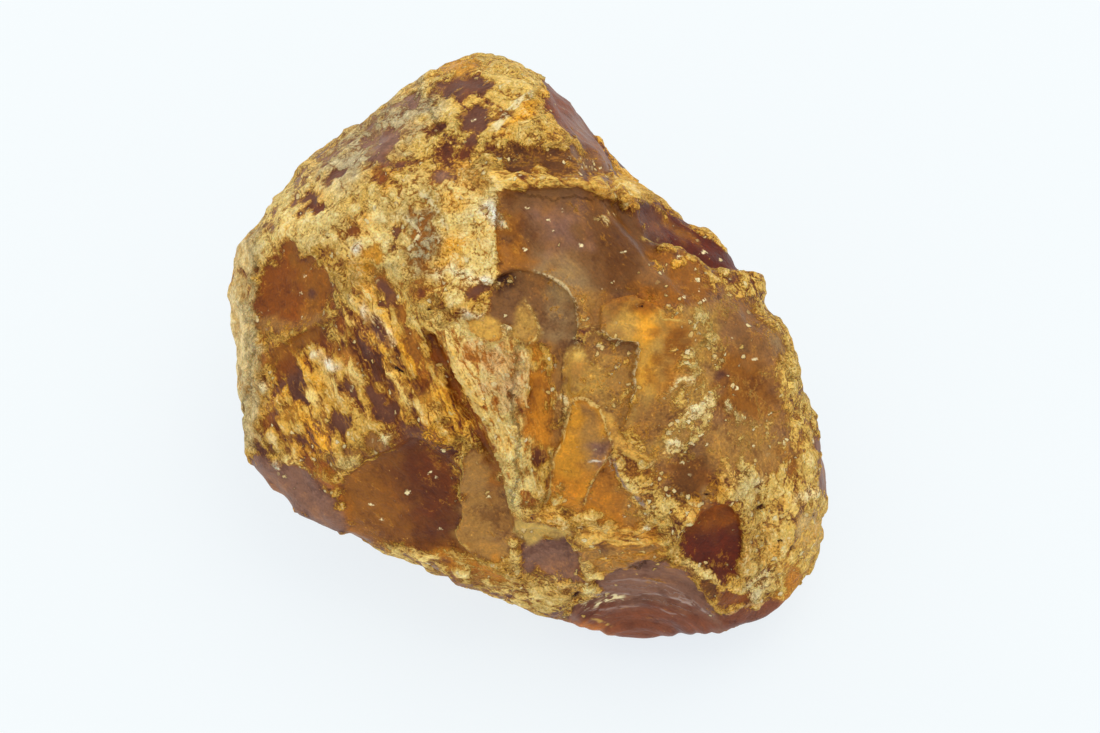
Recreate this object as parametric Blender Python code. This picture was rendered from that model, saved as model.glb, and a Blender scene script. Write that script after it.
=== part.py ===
"""A raw Baltic amber nugget, one solid, lying on the small flat spot that it rests on.

Units are metres and +Z is up. The origin is under the middle of the stone's box, on the surface
that it stands on, and +X runs along its longest axis.

The stone is described on a drawing, in millimetres: "across" runs to the right, "up" towards the
top, and "out" towards a reader who looks down on the stone from DRAWN_AZIMUTH and DRAWN_ELEVATION.
The broken faces give the main form, and the relief on the drawing gives what lies on it: windows
of bare amber, steps left by flakes, grooves, ribs, shell-like ripples and the lumps of the crust.
"""

import math
from collections import namedtuple

import bpy
import numpy as np
from mathutils import Vector, noise

MM = 0.001

# The drawing: where its reader stands.
DRAWN_AZIMUTH = 40.0
DRAWN_ELEVATION = 58.0
EYE_DISTANCE = 450.0
# The heart of the stone, which the drawing is centred on, in the part's own frame.
HEART = (-1.8, 2.3, 23.6)

# How sharply the broken faces meet. A higher power gives a harder edge.
EDGE_POWER = 34.0
# The faces round each other off, so they are set this much further out.
ROUNDING_ALLOWANCE = 1.018

# The mesh: a fine ball to shape, then as few triangles as keep its ridges and ledges.
BALL_SUBDIVISIONS = 7
KEPT_SHARE = 0.118

# A broken face: turn runs round the line of sight from the right, lean is 0 edge-on, 90 square to
# the reader and below 0 behind the stone, and reach is from the heart to the face. The stone is a
# body with a knob at the top, and a face cuts the body, the knob or both.
Face = namedtuple("Face", "name cuts turn lean reach")

DRAWN_FACES = [
    # Towards the reader
    Face("crown", "both", 92, 84, 24.4),
    Face("upper slab", "body", 52, 62, 25.3),
    Face("butterscotch shelf", "both", -28, 70, 25.9),
    Face("blades", "both", -82, 67, 23.4),
    Face("inner shoulder", "both", 160, 68, 24.8),
    Face("upper plateau", "both", 118, 55, 27.8),
    Face("upper left bank", "both", 133, 30, 32.4),
    Face("knob", "both", 84, 38, 31.2),
    Face("left slope", "both", 188, 52, 24.6),
    Face("left hollow", "both", 172, 28, 34.0),
    Face("left foot", "both", 208, 33, 32.4),
    Face("chocolate window", "both", 238, 48, 23.8),
    Face("tan flake", "both", 258, 55, 23.2),
    Face("lower belly", "both", 262, 42, 25.8),
    Face("rippled face", "both", 274, 22, 35.6),
    Face("burgundy corner", "both", -48, 45, 32.0),
    Face("right bank", "both", -12, 44, 32.0),
    Face("upper right strip", "body", 50, 30, 25.6),
    Face("mauve facet", "knob", 37, 9, 20.5),
    # Edge-on, round the outline
    Face("top right edge", "knob", 59, 0, 29.4),
    Face("top edge", "both", 86, 0, 36.1),
    Face("upper left edge", "both", 122, 0, 35.4),
    Face("upper left corner", "both", 143, 0, 36.5),
    Face("left edge", "both", 181, 0, 37.5),
    Face("lower left corner", "both", 222, 2, 36.0),
    Face("lower left edge", "both", 248, 0, 30.2),
    Face("bottom edge", "both", 268, 0, 38.2),
    Face("lower right edge", "both", 285, 0, 41.6),
    Face("lower right corner", "both", 326, 0, 44.4),
    Face("right tip", "both", 352, 0, 37.8),
    Face("right edge", "both", 18.6, 0, 29.3),
    Face("right shoulder", "body", 30, 0, 27.3),
    Face("upper right edge", "body", 54.4, 0, 23.3),
]

# The hidden side, in the part's own frame: turn runs round from +X, and lean is above the ground,
# so a face whose lean is below 0 overhangs.
HIDDEN_FACES = [
    Face("far wall", "both", 128, -4, 33.0),
    Face("far right wall", "both", 92, -12, 27.6),
    Face("far left wall", "both", 168, -12, 33.0),
    Face("far underside", "both", 112, -50, 26.0),
    Face("far left underside", "both", 162, -44, 28.5),
    Face("left underside", "both", 208, -50, 26.8),
    Face("near left underside", "both", 248, -60, 27.0),
    Face("near underside", "both", 296, -72, 28.4),
    Face("right underside", "both", 352, -72, 29.0),
    Face("far right underside", "both", 74, -46, 27.6),
]

# A round scar left by a chip on the hidden side: where its middle faces, its radius, how deep the
# bowl is, and the turn round its middle of the point that was struck, which the ripples run from.
Scar = namedtuple("Scar", "name turn lean radius depth strike")

SCARS = [
    Scar("far chip", 128, 0, 13.5, 2.4, 60),
    Scar("far right chip", 84, -14, 11.0, 1.8, 200),
    Scar("far left chip", 176, -6, 12.0, 2.0, 100),
    Scar("far foot chip", 150, -42, 10.0, 1.4, 250),
    Scar("left foot chip", 214, -30, 10.0, 1.5, 20),
    Scar("right foot chip", 40, -30, 11.0, 1.6, 120),
    Scar("near foot chip", 300, -30, 8.0, 1.0, 90),
]
SCAR_RIPPLE = 0.22
SCAR_RIPPLE_LENGTH = 3.0
SCAR_UNEVENNESS = 0.35
# How fast the ripples and the bare amber take over inside a scar's edge.
SCAR_RIPPLE_ONSET = 2.5
SCAR_BARE_ONSET = 4.0

# A window of bare amber: the crust has gone, so the surface is lower and smooth. rise is negative,
# edge is how wide its border is, and the outline is on the drawing.
Patch = namedtuple("Patch", "name rise edge outline")

WINDOWS = [
    Patch("left hollow", -1.3, 2.2, [
        (-35.0, 10.5), (-33.5, 12.2), (-31.0, 13.0), (-28.0, 12.2), (-26.0, 9.5),
        (-25.5, 5.5), (-28.0, 3.4), (-32.0, 3.4), (-34.8, 5.5)]),
    Patch("left band", -0.8, 1.6, [
        (-34.0, -4.5), (-32.5, -1.6), (-30.0, 0.8), (-26.8, 2.6), (-25.4, 1.4), (-28.4, -0.8),
        (-29.2, -5.8), (-32.0, -5.4)]),
    Patch("chocolate window", -0.9, 1.4, [
        (-25.0, -15.4), (-22.0, -14.6), (-19.5, -12.9), (-16.8, -12.0), (-15.0, -10.4),
        (-12.8, -12.0), (-10.8, -13.6), (-9.9, -17.0), (-9.8, -21.5), (-10.4, -23.6),
        (-9.0, -25.2), (-16.0, -24.8), (-23.6, -24.6), (-24.6, -22.0), (-24.0, -20.3)]),
    Patch("upper slab", -0.7, 1.2, [
        (-5.0, 19.4), (-2.0, 19.4), (4.0, 20.3), (10.0, 18.6), (13.0, 15.4), (15.2, 13.6),
        (15.2, 10.0), (12.6, 6.9), (8.0, 6.2), (5.6, 7.2), (1.0, 9.9), (-3.4, 10.2),
        (-4.3, 14.6)]),
    Patch("upper burgundy patches", -0.7, 1.2, [
        (-5.2, 24.6), (-3.0, 25.4), (3.0, 25.2), (6.4, 23.4), (8.2, 21.7), (3.6, 21.9),
        (-1.4, 21.4), (-4.4, 22.8)]),
    Patch("upper right strip", -1.2, 1.0, [
        (12.8, 18.4), (16.0, 17.8), (21.0, 14.2), (27.6, 9.6), (24.4, 9.9), (21.6, 10.2),
        (18.8, 12.7), (15.4, 13.6), (13.2, 16.4)]),
    Patch("burgundy hollow", -1.3, 1.6, [
        (18.6, -23.0), (20.4, -21.0), (22.2, -19.7), (24.2, -19.6), (25.6, -22.0),
        (26.0, -26.4), (24.6, -28.0), (20.6, -27.4)]),
    Patch("middle right pool", -0.6, 1.4, [
        (15.6, -15.6), (18.0, -12.6), (21.4, -12.8), (23.0, -15.8), (20.4, -19.2), (16.8, -18.4)]),
    Patch("right pool", -0.5, 1.8, [
        (22.2, -1.6), (25.6, 0.4), (28.6, -2.6), (30.8, -8.6), (28.4, -13.0), (24.0, -11.8)]),
    Patch("lower pool", -0.8, 1.2, [
        (-2.2, -22.8), (3.4, -22.8), (5.4, -25.8), (6.2, -28.2), (1.0, -27.6), (-1.8, -25.6)]),
]

# A flake scar with a border all round it.
FLAKES = [
    Patch("scallop", -1.5, 3.6, [
        (-4.8, 9.6), (-1.0, 10.0), (2.2, 9.2), (4.2, 7.2), (5.0, 4.6), (5.0, 0.2), (3.6, -1.4),
        (2.6, -9.0), (0.4, -10.5), (-0.8, -4.0), (-3.4, 1.4), (-5.0, 4.6)]),
    Patch("rippled face", -0.9, 2.4, [
        (2.4, -34.6), (5.0, -31.8), (10.0, -29.0), (12.4, -26.9), (16.4, -27.0), (20.4, -30.0),
        (24.2, -33.4), (20.0, -38.0), (8.0, -39.0)]),
    Patch("top notch", -0.9, 1.4, [
        (-6.6, 39.0), (-5.6, 35.4), (-6.8, 35.0), (-8.0, 39.0)]),
]

# A ledge: the side on the left, going along it, stands up by rise. Both sides come back to the
# surface round them within reach.
Ledge = namedtuple("Ledge", "name rise reach points")
LEDGE_EDGE = 0.6
LEDGE_END = 2.0
LEDGE_HIGH_SHARE = 0.6

LEDGES = [
    Ledge("slab left step", 1.0, 5.0, [(-4.3, 9.4), (-4.8, 14.0), (-5.0, 18.8)]),
    Ledge("slab top step", 0.8, 3.4, [
        (-4.2, 19.8), (0.0, 19.8), (5.0, 20.2), (9.0, 19.2), (13.0, 16.5), (15.4, 13.0)]),
    Ledge("strip step", 0.9, 4.0, [
        (29.0, 8.6), (24.0, 9.9), (22.0, 10.0), (20.5, 11.2), (19.0, 12.3), (15.0, 13.3),
        (12.0, 15.4)]),
    Ledge("scallop rim", 1.3, 3.6, [
        (-6.4, 7.8), (-4.5, 9.0), (-2.0, 10.0), (0.0, 9.7), (2.0, 8.8), (4.0, 7.2), (5.0, 5.5),
        (5.2, 3.0), (5.0, 0.4)]),
    Ledge("petal", 0.8, 3.0, [
        (-5.6, 3.8), (-3.5, 2.0), (-2.0, 1.0), (0.0, 0.6), (0.6, 2.0), (0.3, 3.5), (-0.8, 6.2)]),
    Ledge("shelf", 1.5, 5.5, [
        (17.4, 4.0), (15.2, 5.5), (12.3, 6.8), (10.0, 6.3), (8.2, 5.3), (8.0, 2.4), (9.5, 1.2),
        (12.8, 0.7), (13.0, -0.3), (12.4, -3.0), (12.5, -5.0), (12.2, -7.0), (10.4, -10.4)]),
    Ledge("tongue", 0.7, 2.4, [
        (4.4, -3.0), (4.0, -5.6), (5.0, -6.0), (6.2, -5.0), (6.5, -3.0), (6.0, -1.0),
        (5.0, 0.0), (3.4, -1.2)]),
    Ledge("blade right edge", 0.9, 3.4, [
        (5.4, -21.0), (5.8, -19.8), (7.2, -16.5), (9.8, -12.5), (9.3, -11.0), (8.0, -7.3),
        (3.4, -6.2)]),
    Ledge("blade left edge", 0.9, 3.0, [
        (4.6, -5.6), (4.0, -10.0), (2.3, -13.0), (1.9, -15.0), (2.0, -20.0)]),
    Ledge("blade foot", 0.6, 3.0, [(9.0, -12.0), (12.0, -12.7), (15.8, -14.6)]),
    Ledge("rust wedge", 0.9, 3.4, [
        (9.2, -13.6), (10.3, -15.5), (12.0, -17.5), (13.5, -20.0), (11.6, -24.0)]),
    Ledge("tan flake left edge", 1.2, 5.0, [
        (-10.4, -13.4), (-9.2, -15.0), (-9.5, -18.0), (-9.2, -21.0), (-10.2, -22.8),
        (-9.4, -24.4), (-6.8, -26.4)]),
    Ledge("tan flake right edge", 0.9, 3.4, [
        (-6.0, -11.6), (-4.0, -16.0), (-3.3, -20.0), (-2.4, -23.6)]),
    Ledge("chocolate window top edge", 1.0, 4.0, [
        (-25.4, -21.6), (-24.5, -17.5), (-21.0, -13.8), (-18.0, -12.5), (-15.0, -11.0),
        (-12.0, -13.0), (-9.8, -16.4)]),
    Ledge("rippled face top edge", 1.0, 4.0, [
        (7.0, -29.4), (10.0, -27.5), (14.0, -26.4), (18.0, -27.8), (20.0, -29.5),
        (24.0, -34.0)]),
    Ledge("rippled face step", 0.7, 2.6, [
        (3.6, -32.6), (8.0, -30.6), (15.0, -30.6), (20.5, -32.5), (23.4, -34.4)]),
    Ledge("burgundy hollow edge", 0.9, 3.4, [
        (17.6, -24.4), (18.3, -22.8), (20.0, -21.3), (22.0, -19.8), (24.5, -19.8),
        (25.6, -22.0), (25.8, -25.0), (25.2, -29.0)]),
    Ledge("lower pool edge", 0.7, 3.0, [
        (-3.4, -24.0), (-2.0, -22.4), (3.0, -22.8), (5.0, -25.0), (6.4, -29.6)]),
    Ledge("left band edge", 0.8, 3.2, [
        (-36.0, -5.6), (-34.0, -3.0), (-32.0, 0.0), (-28.5, 2.2), (-25.0, 4.0)]),
]

# A long groove or rib: rise is below 0 for a groove, and half is half its width.
Line = namedtuple("Line", "name rise half points")

LINES = [
    Line("slope cleft", -1.3, 1.3, [
        (-13.4, 1.4), (-11.2, -2.4), (-9.0, -6.2), (-6.8, -10.2), (-5.2, -13.4)]),
    Line("slope crest", 1.1, 2.4, [
        (-15.0, 7.0), (-11.0, 1.4), (-8.0, -4.0), (-5.2, -9.8), (-2.8, -15.0), (-0.6, -19.4)]),
    Line("inner cleft", -0.9, 1.1, [(-18.6, -1.2), (-16.0, -2.8), (-14.0, -4.8)]),
    Line("left slope groove", -0.8, 1.4, [
        (-23.0, 2.4), (-21.6, -0.6), (-20.0, -4.6), (-18.0, -8.4)]),
    Line("left slope rib", 0.7, 1.5, [(-20.6, 6.0), (-18.4, 1.0), (-15.6, -4.0), (-12.6, -9.0)]),
    Line("slab rib", 0.4, 1.4, [(-6.0, 21.0), (0.0, 20.9), (8.0, 20.4), (13.0, 18.0)]),
    Line("knob ridge", 0.6, 1.4, [(0.6, 34.0), (1.6, 30.4), (4.6, 26.6), (9.0, 23.0)]),
    Line("centre cleft", -0.7, 0.9, [(5.2, 3.6), (5.3, 0.8), (3.6, -2.0), (3.8, -6.0)]),
    Line("left outline dent", -1.3, 3.0, [(-40.0, -7.6), (-36.0, -7.2)]),
    Line("lower outline dent", -1.5, 5.0, [(-20.0, -28.4), (-14.0, -27.4)]),
    Line("upper right outline dent", -0.9, 3.4, [(13.5, 24.0), (10.0, 21.8)]),
    Line("right outline bulge", 0.9, 4.0, [(27.4, 9.4), (22.0, 14.4)]),
    Line("right outline dent", -0.9, 2.6, [(30.8, 6.2), (28.0, 4.6)]),
    Line("bottom outline bulge", 0.9, 5.0, [(8.0, -37.0), (13.0, -38.0)]),
]

# Shell-like ripples on the rippled face, round a point below the stone's edge.
RIPPLE_CENTRE = (12.8, -42.6)
RIPPLE_LENGTH = 2.9
RIPPLE_RISE = 0.42
RIPPLE_EDGE = 2.0

# The crust: (lump size, rise) for each layer of lumps.
CRUST_LUMPS = [(8.0, 0.75), (3.6, 0.50), (1.9, 0.26)]
WAVINESS = (17.0, 0.9)
# How much of the crust's lumps bare amber loses.
BARE_SMOOTHING = 0.85
# The relief on the drawing starts this far behind the outline, and is whole after the span.
DRAWN_START = -0.12
DRAWN_SPAN = 0.2

# The block below the ground that cuts the flat spot, in metres.
CUTTER_SIZE = 0.2


def drawing_axes():
    """Unit vectors of the drawing's across, up and out, in the part's own frame."""
    azimuth, elevation = math.radians(DRAWN_AZIMUTH), math.radians(DRAWN_ELEVATION)
    out = Vector((
        math.sin(azimuth) * math.cos(elevation),
        -math.cos(azimuth) * math.cos(elevation),
        math.sin(elevation),
    ))
    across = Vector((math.cos(azimuth), math.sin(azimuth), 0.0))
    return np.array([across, out.cross(across), out])


def facing(turn, lean):
    """The unit direction of that turn and lean on the drawing."""
    turn, lean = math.radians(turn), math.radians(lean)
    return np.array([
        math.cos(lean) * math.cos(turn),
        math.cos(lean) * math.sin(turn),
        math.sin(lean),
    ])


def smooth(share):
    """0 below 0, 1 above 1, and a soft step between."""
    share = np.clip(share, 0.0, 1.0)
    return share * share * (3.0 - 2.0 * share)


def face_normals(cuts):
    """(unit normals on the drawing, reaches) of the faces that cut the body or the knob."""
    drawn = [face for face in DRAWN_FACES if face.cuts in (cuts, "both")]
    hidden = [face for face in HIDDEN_FACES if face.cuts in (cuts, "both")]
    normals = [facing(face.turn, face.lean) for face in drawn]
    normals += [drawing_axes() @ facing(face.turn, face.lean) for face in hidden]
    return np.array(normals), np.array([face.reach for face in drawn + hidden])


def hull_radius(rays, cuts):
    """How far from the heart the faces of the body or the knob lie along each ray."""
    normals, reaches = face_normals(cuts)
    nearness = np.clip(rays @ normals.T, 0.0, None) / (reaches * ROUNDING_ALLOWANCE)
    return (nearness**EDGE_POWER).sum(axis=1) ** (-1.0 / EDGE_POWER)


def face_radius(rays):
    """How far from the heart the broken faces lie along each ray."""
    return np.maximum(hull_radius(rays, "body"), hull_radius(rays, "knob"))


def seen(points):
    """Where the reader sees each point, in millimetres at the heart's distance."""
    return points[:, :2] * (EYE_DISTANCE / (EYE_DISTANCE - points[:, 2:]))


def along_line(places, points):
    """Each place's distance to the line, signed above 0 on the left, and distance from its ends."""
    lengths = [math.dist(start, end) for start, end in zip(points[:-1], points[1:])]
    nearest = np.full(len(places), np.inf)
    side, from_end = np.zeros(len(places)), np.zeros(len(places))
    for index, (start, end) in enumerate(zip(points[:-1], points[1:])):
        run = np.subtract(end, start)
        reach = places - np.array(start)
        share = np.clip(reach @ run / (run @ run), 0.0, 1.0)
        gap = np.linalg.norm(reach - share[:, None] * run, axis=1)
        travelled = sum(lengths[:index]) + share * lengths[index]
        closer = gap < nearest
        nearest = np.where(closer, gap, nearest)
        side = np.where(closer, np.sign(run[0] * reach[:, 1] - run[1] * reach[:, 0]), side)
        left = np.minimum(travelled, sum(lengths) - travelled)
        from_end = np.where(closer, left, from_end)
    return side * nearest, from_end


def distance_to_line(places, points):
    """Distance from each place to an open line through the points."""
    return np.abs(along_line(places, points)[0])


def depth_inside(places, outline):
    """Distance from each place to the outline, above 0 inside it and below 0 outside."""
    closed = outline + outline[:1]
    inside = np.zeros(len(places), bool)
    for (x0, y0), (x1, y1) in zip(closed[:-1], closed[1:]):
        between = (places[:, 1] < y0) != (places[:, 1] < y1)
        height = (places[:, 1] - y0) / (y1 - y0) if y1 != y0 else 0.0
        inside ^= between & (places[:, 0] < x0 + height * (x1 - x0))
    return np.where(inside, 1.0, -1.0) * distance_to_line(places, closed)


def noise_layer(points, size):
    """Smooth noise from -1 to 1 whose lumps are about this size."""
    return np.array([noise.noise(Vector(point) / size) for point in points])


def scars(points, uneven):
    """(rise, bareness) of the round chips on the hidden side."""
    rise, bare = np.zeros(len(points)), np.zeros(len(points))
    for scar in SCARS:
        out = drawing_axes() @ facing(scar.turn, scar.lean)
        middle = points[np.argmax(points @ out / np.linalg.norm(points, axis=1))]
        across = np.cross(out, (0.0, 0.0, 1.0))
        across /= np.linalg.norm(across)
        turn = math.radians(scar.strike)
        struck = middle + scar.radius * (math.cos(turn) * across
                                         + math.sin(turn) * np.cross(out, across))
        share = np.linalg.norm(points - middle, axis=1) / scar.radius
        bowl = np.clip(1.0 - share**2 * (1.0 + SCAR_UNEVENNESS * uneven), 0.0, None)
        away = np.linalg.norm(points - struck, axis=1)
        wave = np.abs(np.sin(math.pi * away / SCAR_RIPPLE_LENGTH))
        rise += -scar.depth * bowl + SCAR_RIPPLE * wave * smooth(SCAR_RIPPLE_ONSET * bowl)
        bare = np.maximum(bare, smooth(SCAR_BARE_ONSET * bowl))
    return rise, bare


def patch_relief(places, patches):
    """(rise, cover) of the patches, each with its soft border."""
    rise, cover = np.zeros(len(places)), np.zeros(len(places))
    for patch in patches:
        share = smooth(depth_inside(places, patch.outline) / patch.edge + 0.5)
        rise += patch.rise * share
        cover = np.maximum(cover, share)
    return rise, cover


def ledge_relief(places):
    """Rise of the ledges: a crisp step that fades out on both sides."""
    rise = np.zeros(len(places))
    for ledge in LEDGES:
        side, from_end = along_line(places, ledge.points)
        fade = np.clip(1.0 - np.abs(side) / ledge.reach, 0.0, 1.0) ** 2
        step = smooth(side / LEDGE_EDGE + 0.5) - (1.0 - LEDGE_HIGH_SHARE)
        rise += ledge.rise * step * fade * smooth(from_end / LEDGE_END)
    return rise


def line_relief(places):
    """Rise of the grooves and ribs."""
    rise = np.zeros(len(places))
    for line in LINES:
        rise += line.rise * smooth(1.0 - distance_to_line(places, line.points) / line.half)
    return rise


def ripple_relief(places):
    """Rise of the shell-like ripples on the rippled face."""
    outline = next(flake.outline for flake in FLAKES if flake.name == "rippled face")
    away = np.linalg.norm(places - np.array(RIPPLE_CENTRE), axis=1)
    wave = np.abs(np.sin(math.pi * away / RIPPLE_LENGTH))
    return RIPPLE_RISE * wave * smooth(depth_inside(places, outline) / RIPPLE_EDGE)


def relief(rays, radius):
    """How far the surface stands out from the broken faces along each ray."""
    points = rays * radius[:, None]
    places = seen(points)
    front = smooth((rays[:, 2] - DRAWN_START) / DRAWN_SPAN)
    wave = noise_layer(points, WAVINESS[0])
    chipped, bare_behind = scars(points, wave)
    lowered, window = patch_relief(places, WINDOWS)
    flaked, bare_flake = patch_relief(places, FLAKES)
    bare = np.maximum(bare_behind, front * np.maximum(window, bare_flake))
    lumps = sum(rise * noise_layer(points, size) for size, rise in CRUST_LUMPS)
    drawn = lowered + flaked + ledge_relief(places) + line_relief(places)
    drawn += ripple_relief(places)
    lumps *= 1.0 - BARE_SMOOTHING * bare
    return chipped + front * drawn + lumps + WAVINESS[1] * wave


def unit_ball():
    """A fine ball of radius 1 about the origin."""
    bpy.ops.mesh.primitive_ico_sphere_add(subdivisions=BALL_SUBDIVISIONS, radius=1.0)
    return bpy.context.object


def shape_stone(stone):
    """Moves the ball's points out to the stone's surface."""
    axes = drawing_axes()
    mesh = stone.data
    rays = np.empty(len(mesh.vertices) * 3, np.float32)
    mesh.vertices.foreach_get("co", rays)
    rays = rays.reshape(-1, 3).astype(float) @ axes.T
    rays /= np.linalg.norm(rays, axis=1)[:, None]
    radius = face_radius(rays)
    radius += relief(rays, radius)
    points = (rays * radius[:, None]) @ axes
    points += HEART
    mesh.vertices.foreach_set("co", (points * MM).astype(np.float32).ravel())
    mesh.update()


def ground_cutter():
    """A hidden block below the surface that the stone rests on: it cuts the flat spot."""
    bpy.ops.mesh.primitive_cube_add(size=CUTTER_SIZE, location=(0.0, 0.0, -CUTTER_SIZE / 2.0))
    cutter = bpy.context.object
    cutter.name = "ground_cutter"
    cutter.hide_render = True
    cutter.display_type = "WIRE"
    return cutter


def amber_material():
    """Ochre weathered amber with a waxy shine."""
    material = bpy.data.materials.new("weathered_amber")
    material.use_nodes = True
    shader = material.node_tree.nodes["Principled BSDF"]
    shader.inputs["Base Color"].default_value = (0.42, 0.20, 0.05, 1.0)
    shader.inputs["Roughness"].default_value = 0.45
    shader.inputs["Metallic"].default_value = 0.0
    return material


def build_nugget():
    """The whole stone: shaped, thinned to a light mesh, and cut flat where it rests."""
    stone = unit_ball()
    stone.name = "amber_nugget"
    shape_stone(stone)
    stone.data.materials.append(amber_material())
    thin = stone.modifiers.new("thin", "DECIMATE")
    thin.ratio = KEPT_SHARE
    flat = stone.modifiers.new("flat_spot", "BOOLEAN")
    flat.operation = "DIFFERENCE"
    flat.solver = "EXACT"
    flat.object = ground_cutter()
    return stone


def clear_scene():
    """Removes whatever the file opened with."""
    for thing in list(bpy.data.objects):
        bpy.data.objects.remove(thing)


clear_scene()
build_nugget()
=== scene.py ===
"""The looks of a raw Baltic amber nugget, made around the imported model.

Places on the stone are given as on a drawing, in millimetres: across runs to the right, up towards
the top, and out towards a reader who looks down on the stone from DRAWN_AZIMUTH and
DRAWN_ELEVATION. The camera stands where that reader does.

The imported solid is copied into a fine, even mesh. Bare amber and crust are drawn on it as depths
from their borders, in millimetres, so that the material can cut a crisp edge between them.
"""

import math
from collections import namedtuple
from types import SimpleNamespace

import bmesh
import bpy
import numpy as np
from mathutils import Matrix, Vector, noise


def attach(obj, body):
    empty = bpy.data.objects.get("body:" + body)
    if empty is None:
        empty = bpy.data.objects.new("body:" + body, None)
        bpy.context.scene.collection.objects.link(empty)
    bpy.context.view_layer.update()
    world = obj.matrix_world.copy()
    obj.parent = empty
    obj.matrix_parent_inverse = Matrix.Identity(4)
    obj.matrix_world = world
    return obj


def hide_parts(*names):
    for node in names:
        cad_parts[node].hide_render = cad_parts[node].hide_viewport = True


MM = 0.001

# The drawing's reader, who is also the camera, and the heart of the stone, in the part's frame.
DRAWN_AZIMUTH = 40.0
DRAWN_ELEVATION = 58.0
EYE_DISTANCE = 450.0
HEART = np.array((-1.8, 2.3, 23.6))
# The middle of the photograph on the drawing, and how much of the drawing its width takes in.
PICTURE_MIDDLE = (1.75, -2.06)
PICTURE_WIDTH = 137.5
SENSOR = 36.0

# The fine mesh: the size of its squares, and how the solid's flat triangles are rounded off.
SQUARE = 0.445
ROUNDING_ROUNDS = 25
ROUNDING_IN = 0.55
ROUNDING_OUT = -0.58
# Here and below, noises are given as a list of (size, amount, shift).
# The drawing is in force from a little behind the outline, by an uneven border.
DRAWN_START = -0.33
DRAWN_SPAN = 0.20
DRAWN_UNEVEN = [(6.0, 0.12, 23.0)]

# Colours as they look in plain daylight, as red, green and blue out of 255.
TONES = {
    "chalk": (238, 230, 208),
    "cream": (238, 218, 166),
    "butter": (226, 192, 116),
    "straw": (212, 172, 90),
    "ochre": (200, 154, 74),
    "khaki": (190, 156, 88),
    "dust": (170, 152, 116),
    "rim": (192, 158, 100),
    "peach": (216, 168, 110),
    "gold": (224, 160, 58),
    "saffron": (224, 172, 84),
    "honey": (206, 146, 58),
    "caramel": (192, 132, 52),
    "amber": (186, 120, 48),
    "rust": (170, 98, 42),
    "copper": (164, 106, 50),
    "tan": (180, 138, 72),
    "fawn": (162, 118, 66),
    "bronze": (148, 104, 60),
    "umber": (146, 104, 68),
    "hazel": (142, 90, 46),
    "smoke": (146, 116, 80),
    "cocoa": (126, 88, 58),
    "chocolate": (108, 70, 46),
    "brick": (120, 72, 56),
    "russet": (130, 74, 36),
    "burgundy": (100, 56, 40),
    "oxblood": (94, 48, 28),
    "plum": (106, 70, 58),
    # On grazing facets, mauve and heather are partly painted reflection of the pale surroundings on bare
    # amber.
    "mauve": (132, 96, 80),
    "heather": (164, 138, 128),
    "bark": (74, 48, 34),
    "soot": (46, 30, 22),
}

# A stretch of the surface: its tone, how thick its crust is (below 0 it is bare amber, and the
# lower the cleaner), how wide its border is, and its outline. The later ones lie on the earlier.
# Crust with bare gaps in it is laid as two stretches with one outline.
Field = namedtuple("Field", "name tone cover edge outline")

UPPER_CENTRE = [(-25, 9), (-24, 16), (-14, 22), (-4, 21), (-4, 8), (-14, 6)]
CREST = [
    (-12, 3), (-6, 4), (-2.6, 2.4), (-1.4, -3), (-0.6, -10), (-0.6, -21), (-3.6, -21), (-6, -10)]

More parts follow.
